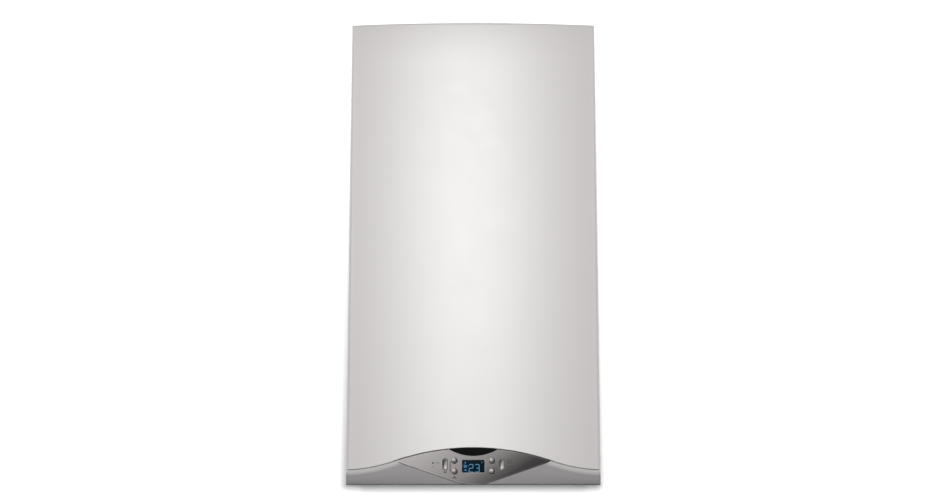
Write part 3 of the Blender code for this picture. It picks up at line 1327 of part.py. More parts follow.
def empty_at(name, place):
    empty = bpy.data.objects.new(name, None)
    bpy.context.scene.collection.objects.link(empty)
    empty.location = place
    bpy.context.view_layer.update()
    return empty


def main():
    for obj in list(bpy.data.objects):
        bpy.data.objects.remove(obj)
    front_cover()
    cover_screws()
    side_panels()
    top_panel()
    bottom_plate()
    rear_frame()
    wall_bracket()
    flue_parts()
    heat_exchanger_shell()
    heat_exchanger_coil()
    burner_parts()
    mixing_manifold()
    fan_parts()
    air_and_gas_parts()
    support_rail()
    expansion_vessel()
    flow_side()
    return_side()
    pump_parts()
    plate_heat_exchanger()
    condensate_parts()
    panel = [fascia(), eye_panel(), badge_crescent(), display_window(), display_board()]
    panel += [control_box(), control_box_cover(), main_board()]
    panel += buttons() + rockers()
    bpy.context.view_layer.update()
    casing = empty_at("casing_lower_edge", (0, 0, 0))
    hinge = empty_at("control_panel_hinge", hinge_axis())
    for obj in panel:
        keep_place_under(obj, hinge)
    for obj in list(bpy.data.objects):
        if obj.parent is None and obj is not casing:
            keep_place_under(obj, casing)
    casing.location.z = -HANG_HEIGHT


main()
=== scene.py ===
# Looks for the wall-hung condensing boiler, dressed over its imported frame.
# Metres, +Z up, the front faces -Y and the wall's face is y = 0.
import json
import math

import bmesh
import bpy
from mathutils import Matrix, Vector

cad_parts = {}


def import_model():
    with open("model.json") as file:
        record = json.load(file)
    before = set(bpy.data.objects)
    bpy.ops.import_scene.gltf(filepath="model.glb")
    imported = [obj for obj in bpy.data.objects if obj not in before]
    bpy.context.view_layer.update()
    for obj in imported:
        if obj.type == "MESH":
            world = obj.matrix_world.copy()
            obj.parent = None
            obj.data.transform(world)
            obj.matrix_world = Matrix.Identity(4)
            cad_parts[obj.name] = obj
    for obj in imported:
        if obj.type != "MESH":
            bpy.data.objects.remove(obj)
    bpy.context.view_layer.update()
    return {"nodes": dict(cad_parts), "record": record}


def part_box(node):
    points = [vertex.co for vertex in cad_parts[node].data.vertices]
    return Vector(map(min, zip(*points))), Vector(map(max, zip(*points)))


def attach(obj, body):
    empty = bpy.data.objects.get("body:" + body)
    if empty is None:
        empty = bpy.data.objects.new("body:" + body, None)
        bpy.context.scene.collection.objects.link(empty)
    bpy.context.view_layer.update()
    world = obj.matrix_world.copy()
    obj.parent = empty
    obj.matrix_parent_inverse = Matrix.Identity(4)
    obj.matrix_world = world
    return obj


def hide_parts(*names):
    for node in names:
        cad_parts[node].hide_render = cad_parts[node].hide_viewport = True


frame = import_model()

# Sizes read from the frame
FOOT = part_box("left_side_panel")[0].z
HALF_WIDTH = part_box("front_cover")[1].x
CASE_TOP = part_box("front_cover")[1].z
CASE_DEPTH = -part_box("eye_panel")[0].y
COVER_BACK = -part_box("front_cover")[1].y
FASCIA_BACK = -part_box("fascia")[1].y

# Form of the casing's front
FRONT_BULGE = 0.015
CORNER_BEND = 0.006
TOP_BEND = 0.004
SHEET = 0.002
SHUT_LINE = 0.001
SEAM_SIDE_HEIGHT = 0.0265
SEAM_ARCH_HEIGHT = 0.064
EYE_HALF_WIDTH = 0.136
EYE_CORNER_HEIGHT = 0.0415
EYE_BOTTOM_HEIGHT = 0.0012
EYE_BOTTOM_RADIUS = 0.110
EYE_THICKNESS = 0.0025
EYE_TIP = 0.004
EYE_LINE = 0.0009
FASCIA_WALL = 0.003
FASCIA_LIP = 0.011
FASCIA_FOOT_BEND = 0.0025
LIP_DEPTH = 0.002
SET_BACK = 0.0010
BADGE_HALF_WIDTH = 0.043
BADGE_DROP = 0.0145

# Controls
DISPLAY_WIDTH = 0.039
DISPLAY_HEIGHT = 0.0215
DISPLAY_CENTRE = 0.032
PANE_FRONT = CASE_DEPTH - 0.0006
BUTTON_RADIUS = 0.005
BUTTON_REACH = 0.0322
BUTTON_UPPER = 0.0414
BUTTON_LOWER = 0.0233
BUTTON_PROUD = 0.0022
ROCKER_WIDTH = 0.0087
ROCKER_HEIGHT = 0.020
ROCKER_REACH = 0.0485
ROCKER_CENTRE = 0.0356
KEY_GAP = 0.0003
SCREW_SUNK = 0.0008
KEY_CLEARANCE = 0.0006
SIDES = ((-1, "left"), (1, "right"))

# Display figures, their signs and the printed marks
PRINT_THICKNESS = 0.00006
LIT_THICKNESS = 0.00008
DIGIT_HEIGHT = 0.0130
DIGIT_WIDTH = 0.0068
DIGIT_CHAMFER = 0.0015
DIGIT_LINE = 0.0012
DIGIT_FOOT = 0.0009
DIGIT_LEFTS = (-0.0072, 0.0034)
ICON_COLUMN = -0.0139
FLAME_HEIGHT = DISPLAY_CENTRE + 0.0065
RADIATOR_HEIGHT = DISPLAY_CENTRE + 0.0004
TAP_HEIGHT = DISPLAY_CENTRE - 0.0067
MARK_LINE = 0.0014
CHEVRON_LINE = 0.0019
BRACKET_COLUMN = -0.0398
BRACKET_REACH = 0.0024

# Beads and lines round the eye, as (offset, height over the surface)
BEAD = [(-0.0006, -0.0002), (-0.0003, 0.00025), (0.0003, 0.00025), (0.0006, -0.0002)]
ARCH_LINE = [(-0.0006, -0.0004), (0.0006, -0.0004), (0.0006, 0.0001), (-0.0006, 0.0001)]
BEAD_UNDER_SEAM = 0.0022
BEAD_OVER_FOOT = 0.0013
LINE_OVER_BEAD = 0.0015

# Cut-outs and edges
CUT_FROM = CASE_DEPTH - 0.02
CUT_TO = CASE_DEPTH + 0.01
SHARP_ANGLE = 35
SCOOP = 0.0022
KEY_EDGE = 0.0004

# Flue, fixings, pressed beads and threads
COLLAR_RADIUS = 0.050
COLLAR_WALL = 0.0018
COLLAR_SCREW_INSET = 0.008
FLUE_RADIUS = 0.030
FLUE_SHOULDER = 0.030
FLUE_NECK = 0.045
SCREW_INSET = 0.014
TOP_SCREW_RADIUS = 0.0038
SIDE_SCREW_RADIUS = 0.0032
SCREW_RADIUS = 0.0034
REAR_BEAD_HEIGHT = 0.0035
REAR_BEAD_HALF_WIDTH = 0.006
REAR_BEAD_MIDDLE = 0.345
REAR_BEAD_REACH = 0.125
TAIL_ROW = -0.105
TAILS = ((-0.130, "brass"), (-0.065, "brass"), (0.0, "copper"), (0.065, "brass"), (0.130, "brass"))
THREAD_PITCH = 0.0014
THREAD_RADIUS = 0.0125
THREAD_DEPTH = 0.0007
SEAL_RADIUS = 0.0185
BOX_RIB_PITCH = 0.008
BOX_FRAME_SIZE = (0.400, 0.118)
GROMMETS = (-0.115, -0.035, 0.085)

# Painted light on the fascia, pairs of (cosine, times the colour): a painted highlight where the lip turns
# up, painted shade where the foot turns under
FASCIA_PAINTED_LIGHT = [(-0.7, 0.25), (-0.2, 0.5), (-0.02, 1.0), (0.015, 1.0), (0.06, 1.5)]
FASCIA_PAINTED_LIGHT += [(0.16, 2.0), (0.6, 2.4), (0.92, 1.1), (1.0, 1.0)]
# Painted shading of the keys: the way the painted light comes from, and pairs of (cosine, times the colour)
# from painted shade to painted highlight
KEY_PAINTED_LIGHT_FROM = (-0.50, -0.66, 0.58)
KEY_PAINTED_SHADING = [(0.0, 0.06), (0.40, 0.18), (0.68, 0.55), (0.82, 1.1), (0.92, 1.9), (1.0, 2.3)]
# A painted reflection on the eye's lacquer, its lightness along a line that leans: metres to the right, plus
# a share of those downwards
EYE_PAINTED_REFLECTION_LEAN = 1.6
EYE_PAINTED_REFLECTION_CENTRE = 0.039
EYE_PAINTED_REFLECTION_GREYS = [(-0.110, 0.485), (-0.050, 0.375), (0.021, 0.256)]
EYE_PAINTED_REFLECTION_GREYS += [(0.056, 0.140), (0.098, 0.042), (0.122, 0.034)]

# Stage: its light, the contact shade on the wall, and how far wall and floor reach
AMBIENT = 0.20
STAGE_GLOW = 0.85
STAGE_MATTE = 0.7
SHADE_BELOW = (FOOT - 0.001, FOOT - 0.0165)
SHADE_LEFT = (-0.243, -0.275)
SHADE_RIGHT = (0.238, 0.267)
SHADE_SIDE_DEPTH = (1.0, 0.10)
WALL_FACE = 0.0012
FLOOR_HEIGHT = -1.6
STAGE_HALF_WIDTH = 4
STAGE_TOP = 3
STAGE_FRONT = -5

# Name, place, size and watts of each lamp
LAMP_AIM = (0, -0.2, -0.3)
LAMPS = [
    ("key", (-0.08, -3.7, 0.34), (1.2, 1.9), 74.0),
    ("low_front", (0.0, -3.3, -1.05), (0.8, 0.3), 9.0),
    ("left", (-3.0, 0.5, 1.4), (1.6, 1.6), 72.0),
    ("right", (3.0, 0.5, 1.4), (1.6, 1.6), 72.0),
    ("behind_left", (-2.4, 3.0, 1.2), (3.0, 3.0), 30.0),
    ("behind_right", (2.4, 3.0, 1.2), (3.0, 3.0), 30.0),
]

# Camera: where the photograph was taken from
CAMERA_FROM_WALL = 3.070
CAMERA_LENS = 59.1
CAMERA_SENSOR = 36
CAMERA_BELOW_FOOT = 0.002
CAMERA_PITCH = 8.668
PICTURE_MIDDLE = 473.3
PICTURE_WIDTH = 944

ARC_RADIUS = ((HALF_WIDTH - CORNER_BEND) ** 2 + FRONT_BULGE**2) / (2 * FRONT_BULGE)
ARCH_DROP = SEAM_ARCH_HEIGHT - EYE_CORNER_HEIGHT
ARCH_RADIUS = (EYE_HALF_WIDTH**2 + ARCH_DROP**2) / (2 * ARCH_DROP)
FULL_TURN = 2 * math.pi


# Shape of the front; heights are above the casing's lower edge


def seam_height(x):
    """The line between cover and fascia: an arch, then a curve that flattens towards the side."""
    run = abs(x) - EYE_HALF_WIDTH
    if run <= 0:
        return SEAM_ARCH_HEIGHT - ARCH_RADIUS + math.sqrt(ARCH_RADIUS**2 - x * x)
    length = HALF_WIDTH - EYE_HALF_WIDTH
    slope = EYE_HALF_WIDTH / math.sqrt(ARCH_RADIUS**2 - EYE_HALF_WIDTH**2)
    rise = slope * length - EYE_CORNER_HEIGHT + SEAM_SIDE_HEIGHT
    return EYE_CORNER_HEIGHT - slope * run + rise * (run / length) ** 2


def eye_bottom(x):
    """Lower edge of the eye: a line from its corner that runs into a round bottom."""
    centre = EYE_BOTTOM_HEIGHT + EYE_BOTTOM_RADIUS
    rise = centre - EYE_CORNER_HEIGHT
    a = EYE_HALF_WIDTH**2 - EYE_BOTTOM_RADIUS**2
    b = rise * EYE_HALF_WIDTH
    c = rise**2 - EYE_BOTTOM_RADIUS**2
    slope = (math.sqrt(b * b - a * c) - b) / a
    if abs(x) < EYE_BOTTOM_RADIUS * slope / math.hypot(1, slope):
        return centre - math.sqrt(EYE_BOTTOM_RADIUS**2 - x * x)
    return EYE_CORNER_HEIGHT + slope * (abs(x) - EYE_HALF_WIDTH)


def badge_bottom(x):
    """Lower edge of the crescent badge, an arc between two points of the arch."""
    tip = seam_height(BADGE_HALF_WIDTH)
    sag = tip - SEAM_ARCH_HEIGHT + BADGE_DROP
    radius = (BADGE_HALF_WIDTH**2 + sag**2) / (2 * sag)
    return tip - sag + radius - math.sqrt(radius**2 - x * x)


def front_distance(x, inset=0.0):
    """How far the front stands from the wall at x, for a surface that lies inset inside the outer one."""
    bend_start = HALF_WIDTH - CORNER_BEND
    reach = min(abs(x), bend_start)
    distance = CASE_DEPTH - ARC_RADIUS + math.sqrt((ARC_RADIUS - inset) ** 2 - reach**2)
    bend = CORNER_BEND - inset
    past = min(abs(x) - reach, bend)
    return distance - bend + math.sqrt(max(bend**2 - past**2, 0))


def across(half, spans):
    """Even places from one side to the other."""
    return [half * (2 * i / spans - 1) for i in range(spans + 1)]


def quarter(steps):
    """Sine and cosine of even turns from 0 to 90 degrees."""
    turns = [math.pi / 2 * k / steps for k in range(steps + 1)]
    return [(math.sin(turn), math.cos(turn)) for turn in turns]


def stations(spans, corner_steps, inset=0.0):
    """Places across the front, close together round the two corner bends."""
    bend_start = HALF_WIDTH - CORNER_BEND
    bent = [bend_start + (CORNER_BEND - inset) * sine for sine, _ in quarter(corner_steps)[1:]]
    return [-x for x in reversed(bent)] + across(bend_start, spans) + bent


def place(x, height, distance):
    """A point by its height over the casing's lower edge and its distance from the wall."""
    return (x, -distance, FOOT + height)


# Mesh helpers


def new_object(name, data):
    obj = bpy.data.objects.new(name, data)
    bpy.context.scene.collection.objects.link(obj)
    return obj


def mesh_piece(name, points, faces, sharp=SHARP_ANGLE):
    """A mesh object with its faces turned outwards and smooth between its sharp edges."""
    mesh = bpy.data.meshes.new(name)
    mesh.from_pydata([tuple(point) for point in points], [], faces)
    shape = bmesh.new()
    shape.from_mesh(mesh)
    bmesh.ops.remove_doubles(shape, verts=shape.verts, dist=1e-6)
    bmesh.ops.recalc_face_normals(shape, faces=shape.faces)
    return shaped(name, mesh, shape, sharp)


def shaped(name, mesh, shape, sharp=SHARP_ANGLE):
    """Write a worked shape into its mesh and make an object of it."""
    shape.to_mesh(mesh)
    shape.free()
    smooth_between(mesh, sharp)
    return new_object(name, mesh)


def smooth_between(mesh, sharp=SHARP_ANGLE):
    mesh.shade_smooth()
    mesh.set_sharp_from_angle(angle=math.radians(sharp))


def end_corner(path):
    """Where the end of a front piece turns square, behind its front and level with its last point."""
    return (path[0][0], path[0][1], path[-1][2])


def front_shell(name, path_at, spans, wall):
    """A thin wall across the front. path_at gives one surface's path up the front from x and an inset."""
    outer = [path_at(x, 0.0) for x in stations(spans, 10)]
    inner = [path_at(x, wall) for x in stations(spans, 10, wall)]
    count = len(outer[0])
    points = []
    for surface in (outer, inner):
        for path in surface:
            points += path
    offset = len(outer) * count
    faces = []
    for base in (0, offset):
        for i in range(len(outer) - 1):
            for k in range(count - 1):
                a = base + i * count + k
                faces.append([a, a + 1, a + count + 1, a + count])
    for i in range(len(outer) - 1):
        for k in (0, count - 1):
            a = i * count + k
            faces.append([a, a + count, a + count + offset, a + offset])
    for i in (0, len(outer) - 1):
        first, last = i * count, i * count + count - 1
        outer_corner, inner_corner = len(points), len(points) + 1
        points += [end_corner(outer[i]), end_corner(inner[i])]
        faces.append(list(range(first, last + 1)) + [outer_corner])
        faces.append(list(range(first + offset, last + offset + 1)) + [inner_corner])
        faces.append([last, outer_corner, inner_corner, last + offset])
        faces.append([outer_corner, first, first + offset, inner_corner])
    return mesh_piece(name, points, faces)


def loft(name, sections, sharp=SHARP_ANGLE):
    """A closed solid through sections with the same number of points."""
    count = len(sections[0])
    points = [point for section in sections for point in section]
    faces = [list(range(count)), list(range(len(points) - count, len(points)))]
    for i in range(len(sections) - 1):
        for k in range(count):
            after = (k + 1) % count
            here, above = i * count, (i + 1) * count
            faces.append([here + k, here + after, above + after, above + k])
    return mesh_piece(name, points, faces, sharp)


def prism(name, outline, near, far):
    """An outline in x and height, pushed from one distance off the wall to another."""
    sections = [[place(x, z, distance) for x, z in outline] for distance in (near, far)]
    return loft(name, sections)


def turned(name, profile, axis, centre, sides=64):
    """A closed profile of (radius, along) turned about the y or z axis through centre."""
    points = []
    rings = []
    for radius, along in profile:
        steps = sides if radius > 0 else 1
        rings.append(range(len(points), len(points) + steps))
        for k in range(steps):
            turn = FULL_TURN * k / sides
            a, b = radius * math.cos(turn), radius * math.sin(turn)
            offset = (a, along, b) if axis == "y" else (a, b, along)
            points.append(tuple(c + o for c, o in zip(centre, offset)))
    faces = []
    for i, ring in enumerate(rings):
        following = rings[(i + 1) % len(rings)]
        if len(ring) == 1 and len(following) == 1:
            continue
        for k in range(sides):
            after = (k + 1) % sides
            face = [ring[k % len(ring)], ring[after % len(ring)]]
            face += [following[after % len(following)], following[k % len(following)]]
            faces.append(list(dict.fromkeys(face)))
    return mesh_piece(name, points, faces)


def carve(target, tools):
    """Cut the tools out of the target and remove them."""
    for tool in tools:
        modifier = target.modifiers.new("cut", "BOOLEAN")
        modifier.operation = "DIFFERENCE"
        modifier.object = tool
        bpy.context.view_layer.update()
        graph = bpy.context.evaluated_depsgraph_get()
        result = bpy.data.meshes.new_from_object(target.evaluated_get(graph))
        target.modifiers.clear()
        target.data = result
        bpy.data.objects.remove(tool)
    smooth_between(target.data)


def soften(obj, width, segments=2, angle=40):
    """Round the edges that turn more than the angle."""
    bevel = obj.modifiers.new("edges", "BEVEL")
    bevel.width = width
    bevel.segments = segments
    bevel.limit_method = "ANGLE"
    bevel.angle_limit = math.radians(angle)
    bevel.use_clamp_overlap = True
    return obj


def arc(centre, radius, start, end, steps):
    """Points of an arc in x and height, angles in degrees."""
    points = []
    for k in range(steps + 1):
        turn = math.radians(start + (end - start) * k / steps)
        points.append((centre[0] + radius * math.cos(turn), centre[1] + radius * math.sin(turn)))
    return points


def capsule(x, z, width, height, steps=16):
    """An upright slot outline with round ends."""
    radius = width / 2
    straight = height / 2 - radius
    return arc((x, z + straight), radius, 0, 180, steps) + arc((x, z - straight), radius, 180, 360, steps)


def rectangle(x, z, width, height, corner=0.0, steps=4):
    """A closed outline with rounded corners, anticlockwise."""
    half, tall = width / 2 - corner, height / 2 - corner
    if corner == 0:
        return [(x - half, z - tall), (x + half, z - tall), (x + half, z + tall), (x - half, z + tall)]
    outline = []
    for sx, sz, start in ((1, 1, 0), (-1, 1, 90), (-1, -1, 180), (1, -1, 270)):
        outline += arc((x + sx * half, z + sz * tall), corner, start, start + 90, steps)
    return outline


def trace(name, outline, profile, closed=True, surface=front_distance):
    """A thin bead along an outline in x and height; its profile is (offset to the left, height over it)."""
    count = len(outline)
    rows = []
    for i, (x, z) in enumerate(outline):
        before = Vector(outline[i - 1] if closed or i else outline[0])
        after = Vector(outline[(i + 1) % count] if closed or i < count - 1 else outline[-1])
        here = Vector((x, z))
        back = (here - before).normalized() if (here - before).length else (after - here).normalized()
        ahead = (after - here).normalized() if (after - here).length else back
        left = Vector((-(back + ahead).y, (back + ahead).x)).normalized()
        square = max(left.dot(Vector((-ahead.y, ahead.x))), 0.4)
        row = []
        for offset, raised in profile:
            spot = here + left * offset / square
            row.append(place(spot.x, spot.y, surface(spot.x) + raised))
        rows.append(row)
    size = len(profile)
    points = [point for row in rows for point in row]
    faces = []
    for i in range(count if closed else count - 1):
        for k in range(size):
            a, b = i * size, (i + 1) % count * size
            after = (k + 1) % size
            faces.append([a + k, a + after, b + after, b + k])
    if not closed:
        faces += [list(range(size)), list(range((count - 1) * size, count * size))]
    return mesh_piece(name, points, faces)


def decal(name, outline, thickness=PRINT_THICKNESS, surface=front_distance):
    """A thin printed mark on the front."""
    layers = []
    for raised in (-thickness, thickness):
        layers.append([place(x, z, surface(x) + raised) for x, z in outline])
    return loft(name, layers)


def flat_line(width, low, high):
    """The profile of a flat line between two heights over the surface."""
    return [(-width / 2, low), (width / 2, low), (width / 2, high), (-width / 2, high)]


def stroke(width, thickness=PRINT_THICKNESS):
    """The profile of a flat printed line."""
    return flat_line(width, -thickness, thickness)


# Materials


class Nodes:
    """A node tree with short ways to add nodes and join them."""

    def __init__(self, owner):
        owner.use_nodes = True
        self.nodes = owner.node_tree.nodes
        self.links = owner.node_tree.links

    def feed(self, socket, value):
        """Give a socket a constant, or the output of another node."""
        if isinstance(value, bpy.types.NodeSocket):
            self.links.new(value, socket)
        else:
            socket.default_value = value

    def node(self, kind, **values):
        """A new node. Each value is one of its settings, or goes to the input of that name."""
        made = self.nodes.new(kind)
        for name, value in values.items():
            if hasattr(made, name):
                setattr(made, name, value)
            else:
                self.feed(made.inputs[name.replace("_", " ")], value)
        return made

    def pair(self, kind, operation, first, second):
        """Two values through one Math or Vector Math node."""
        made = self.node(kind, operation=operation)
        self.feed(made.inputs[0], first)
        self.feed(made.inputs[1], second)
        return made.outputs["Value"]

    def math(self, operation, first, second):
        return self.pair("ShaderNodeMath", operation, first, second)

    def dot(self, vector, direction):
        return self.pair("ShaderNodeVectorMath", "DOT_PRODUCT", vector, direction)

    def ranged(self, value, start, end, low=0.0, high=1.0, shape="LINEAR"):
        """A value between start and end, moved into the range low to high."""
        made = self.node("ShaderNodeMapRange", interpolation_type=shape, Value=value)
        for name, number in (("From Min", start), ("From Max", end), ("To Min", low), ("To Max", high)):
            made.inputs[name].default_value = number
        return made.outputs["Result"]

    def rays(self):
        """1 for camera, glossy and transmission rays."""
        path = self.node("ShaderNodeLightPath")
        total = path.outputs["Is Camera Ray"]
        for ray in ("Is Glossy Ray", "Is Transmission Ray"):
            total = self.math("MAXIMUM", total, path.outputs[ray])
        return total


class Paint(Nodes):
    """A node-based material with a Principled shader and a few shared ways to vary it."""

    def __init__(self, name, colour, roughness, metallic=0.0, coat=0.0, level=0.5):
        self.material = bpy.data.materials.new(name)
        super().__init__(self.material)
        self.shader = self.nodes["Principled BSDF"]
        self.colour = (*colour, 1)
        constants = {"Base Color": self.colour, "Roughness": roughness, "Metallic": metallic}
        constants |= {"Coat Weight": coat, "Coat Roughness": 0.08, "Specular IOR Level": level}
        self.set(**constants)
        self.where = self.node("ShaderNodeTexCoord").outputs["Object"]

    def set(self, **constants):
        """Set inputs of the shader by name."""
        for name, value in constants.items():
            self.shader.inputs[name].default_value = value

    def noise(self, scale, detail=4.0, stretch=None):
        where = self.where
        if stretch:
            where = self.node("ShaderNodeMapping", Vector=where, Scale=stretch).outputs["Vector"]
        return self.node("ShaderNodeTexNoise", Vector=where, Scale=scale, Detail=detail).outputs["Fac"]

    def tint(self, factor, low, high):
        """Vary the colour's lightness by the factor, between low and high times the colour."""
        mix = self.node("ShaderNodeMix", data_type="RGBA", Factor=factor)
        for socket, times in ((mix.inputs[6], low), (mix.inputs[7], high)):
            socket.default_value = (*[min(channel * times, 1) for channel in self.colour[:3]], 1)
        self.links.new(mix.outputs[2], self.shader.inputs["Base Color"])
        return self

    def gloss(self, factor, low, high):
        self.links.new(self.ranged(factor, 0.0, 1.0, low, high), self.shader.inputs["Roughness"])
        return self

    def bump(self, factor, height, strength=1.0):
        bump = self.node("ShaderNodeBump", Strength=strength, Distance=height, Height=factor)
        self.links.new(bump.outputs["Normal"], self.shader.inputs["Normal"])
        return self

    def ramp(self, factor, stops):
        """Colour from a factor through stops of (position, colour)."""
        ramp = self.node("ShaderNodeValToRGB", Fac=factor)
        ramp.color_ramp.interpolation = "LINEAR"
        elements = ramp.color_ramp.elements
        elements[0].position, elements[1].position = stops[0][0], stops[-1][0]
        elements[0].color, elements[1].color = (*stops[0][1], 1), (*stops[-1][1], 1)
        for position, colour in stops[1:-1]:
            elements.new(position).color = (*colour, 1)
        self.links.new(ramp.outputs["Color"], self.shader.inputs["Base Color"])
        return self

    def painted_light_by_facing(self, direction, tones):
        """Painted light and shade: lightness by how far the surface turns to a direction, from pairs of
        (cosine, times the colour).
        """
        normal = self.node("ShaderNodeTexCoord").outputs["Normal"]
        turned_to = self.dot(normal, Vector(direction).normalized())
        stops = []
        for cosine, tone in tones:
            stops.append(((cosine + 1) / 2, tuple(channel * tone for channel in self.colour[:3])))
        return self.ramp(self.ranged(turned_to, -1.0, 1.0), stops)

    def along(self, axis, low, high):
        """0 to 1 along one axis of the object, between two places."""
        parts = self.node("ShaderNodeSeparateXYZ", Vector=self.where)
        return self.ranged(parts.outputs[axis], low, high)


def enamel():
    """Stoved white enamel on sheet steel, with a faint orange peel."""
    paint = Paint("enamel", (0.498, 0.474, 0.470), 0.38, coat=0.50, level=1.0)
    paint.shader.inputs["Coat Roughness"].default_value = 0.36
    paint.tint(paint.noise(5.0, 3.0), 0.985, 1.015)
    paint.gloss(paint.noise(40.0), 0.37, 0.43)
    return paint.bump(paint.noise(700.0, 2.0), 0.00002, 0.35).material


def panel_enamel():
    """The same colour on the folded top and side panels, less glossy."""
    paint = Paint("panel_enamel", (0.54, 0.522, 0.514), 0.5, level=0.35)
    paint.tint(paint.noise(5.0, 3.0), 0.985, 1.015)
    paint.gloss(paint.noise(40.0), 0.46, 0.54)
    return paint.bump(paint.noise(700.0, 2.0), 0.00002, 0.35).material


def zinc():
    """Galvanised sheet with its spangle."""
    paint = Paint("zinc", (0.50, 0.51, 0.52), 0.42, metallic=0.75)
    cells = paint.node("ShaderNodeTexVoronoi", Vector=paint.where, Scale=90.0)
    paint.tint(cells.outputs["Color"], 0.86, 1.10)
    paint.gloss(paint.noise(60.0), 0.32, 0.55)
    return paint.bump(paint.noise(260.0), 0.00003, 0.3).material


def fascia_plastic_painted_light():
    """Mid-grey moulded plastic with a fine grain, and painted light: a painted highlight where the lip turns
    up, painted shade where the foot turns under.
    """
    paint = Paint("fascia_plastic_painted_light", (0.243, 0.234, 0.233), 0.42)
    paint.painted_light_by_facing((0, 0, 1), FASCIA_PAINTED_LIGHT)
    paint.gloss(paint.noise(220.0), 0.36, 0.48)
    return paint.bump(paint.noise(2600.0, 2.0), 0.00002, 0.4).material


def eye_silver_painted_reflection(name="eye_silver_painted_reflection", share=1.0, lift=0.0):
    """Silver lacquer with a painted reflection that darkens from the upper left to the lower right."""
    paint = Paint(name, (0.3, 0.28, 0.28), 0.42, level=0.08)
    lean = paint.dot(paint.where, (1, 0, -EYE_PAINTED_REFLECTION_LEAN))
    centre = EYE_PAINTED_REFLECTION_LEAN * (FOOT + EYE_PAINTED_REFLECTION_CENTRE)
    low, high = EYE_PAINTED_REFLECTION_GREYS[0][0], EYE_PAINTED_REFLECTION_GREYS[-1][0]
    stops = []
    for shade, grey in EYE_PAINTED_REFLECTION_GREYS:
        tone = grey * share + lift
        stops.append(((shade - low) / (high - low), (tone, tone * 0.94, tone * 0.93)))
    paint.ramp(paint.ranged(lean, low - centre, high - centre), stops)
    paint.gloss(paint.noise(300.0), 0.38, 0.46)
    return paint.bump(paint.noise(4200.0, 1.0), 0.00001, 0.3).material


def silver_plastic(name, colour, roughness, metallic=0.3):
    """Silver-grey plastic."""
    paint = Paint(name, colour, roughness, metallic=metallic, level=0.3)
    paint.tint(paint.noise(300.0), 0.96, 1.04)
    paint.gloss(paint.noise(700.0), roughness - 0.04, roughness + 0.05)
    return paint.bump(paint.noise(3000.0, 1.0), 0.00001, 0.2).material


def key_silver_painted_shading():
    """Satin silver of the keys with painted shading: a painted highlight where it faces up and left, painted
    shade towards the lower right.
    """
    paint = Paint("key_silver_painted_shading", (0.36, 0.35, 0.34), 0.35, metallic=0.1, level=0.4)
    paint.painted_light_by_facing(KEY_PAINTED_LIGHT_FROM, KEY_PAINTED_SHADING)
    paint.gloss(paint.noise(700.0), 0.31, 0.40)
    return paint.bump(paint.noise(3000.0, 1.0), 0.00001, 0.2).material


def black_gloss():
    """Polished black badge, left bare."""
    paint = Paint("black_gloss", (0.003, 0.003, 0.0033), 0.16, level=0.01)
    paint.gloss(paint.noise(90.0), 0.12, 0.22)
    return paint.bump(paint.noise(900.0), 0.00001, 0.1).material


def display_glass():
    """Dark polished pane, a little bluer to the left."""
    paint = Paint("display_glass", (0.0, 0.007, 0.022), 0.08, level=0.03)
    shade = paint.along("X", -DISPLAY_WIDTH / 2, DISPLAY_WIDTH / 2)
    paint.ramp(shade, [(0.0, (0.0, 0.010, 0.030)), (0.6, (0.0, 0.008, 0.018)), (1.0, (0.001, 0.008, 0.009))])
    paint.gloss(paint.noise(300.0), 0.06, 0.12)
    return paint.bump(paint.noise(500.0), 0.000005, 0.05).material


def display_light():
    """Lit segments."""
    paint = Paint("display_light", (0.02, 0.09, 0.15), 0.5, level=0.1)
    paint.shader.inputs["Emission Color"].default_value = (0.09, 0.27, 0.42, 1)
    paint.shader.inputs["Emission Strength"].default_value = 0.75
    paint.tint(paint.noise(600.0), 0.9, 1.1)
    return paint.material


# Dark ink for print, also used as painted shadow in grooves and in the shut line
def ink_and_painted_shadow(name, colour):
    paint = Paint(name, colour, 0.55)
    paint.tint(paint.noise(1500.0), 0.85, 1.15)
    return paint.bump(paint.noise(4000.0), 0.00001, 0.2).material


def cast_aluminium():
    paint = Paint("cast_aluminium", (0.52, 0.53, 0.54), 0.5, metallic=0.8)
    paint.tint(paint.noise(70.0), 0.88, 1.08)
    paint.gloss(paint.noise(160.0), 0.42, 0.62)
    return paint.bump(paint.noise(1400.0), 0.00008, 0.5).material


def bright_metal(name, colour, roughness, stretch):
    """Drawn or brushed metal with fine lines along one direction."""
    paint = Paint(name, colour, roughness, metallic=1.0)
    lines = paint.noise(90.0, 3.0, stretch)
    paint.tint(lines, 0.85, 1.08)
    paint.gloss(lines, roughness - 0.07, roughness + 0.12)
    return paint.bump(lines, 0.00002, 0.3).material


def moulded(name, colour, roughness):
    """Moulded plastic or rubber with a fine grain."""
    paint = Paint(name, colour, roughness)
    paint.tint(paint.noise(45.0), 0.92, 1.08)
    paint.gloss(paint.noise(180.0), roughness - 0.06, roughness + 0.08)
    return paint.bump(paint.noise(1800.0, 2.0), 0.00003, 0.45).material


def circuit_board():
    """Green solder mask with paler tracks."""
    paint = Paint("circuit_board", (0.02, 0.13, 0.05), 0.4, coat=0.3)
    tracks = paint.node("ShaderNodeTexBrick", Vector=paint.where, Scale=90.0, Mortar_Size=0.05)
    tracks.inputs["Color1"].default_value = (0.018, 0.12, 0.045, 1)
    tracks.inputs["Color2"].default_value = (0.022, 0.14, 0.055, 1)
    tracks.inputs["Mortar"].default_value = (0.05, 0.24, 0.10, 1)
    paint.links.new(tracks.outputs["Color"], paint.shader.inputs["Base Color"])
    return paint.bump(paint.noise(900.0), 0.00003, 0.3).material


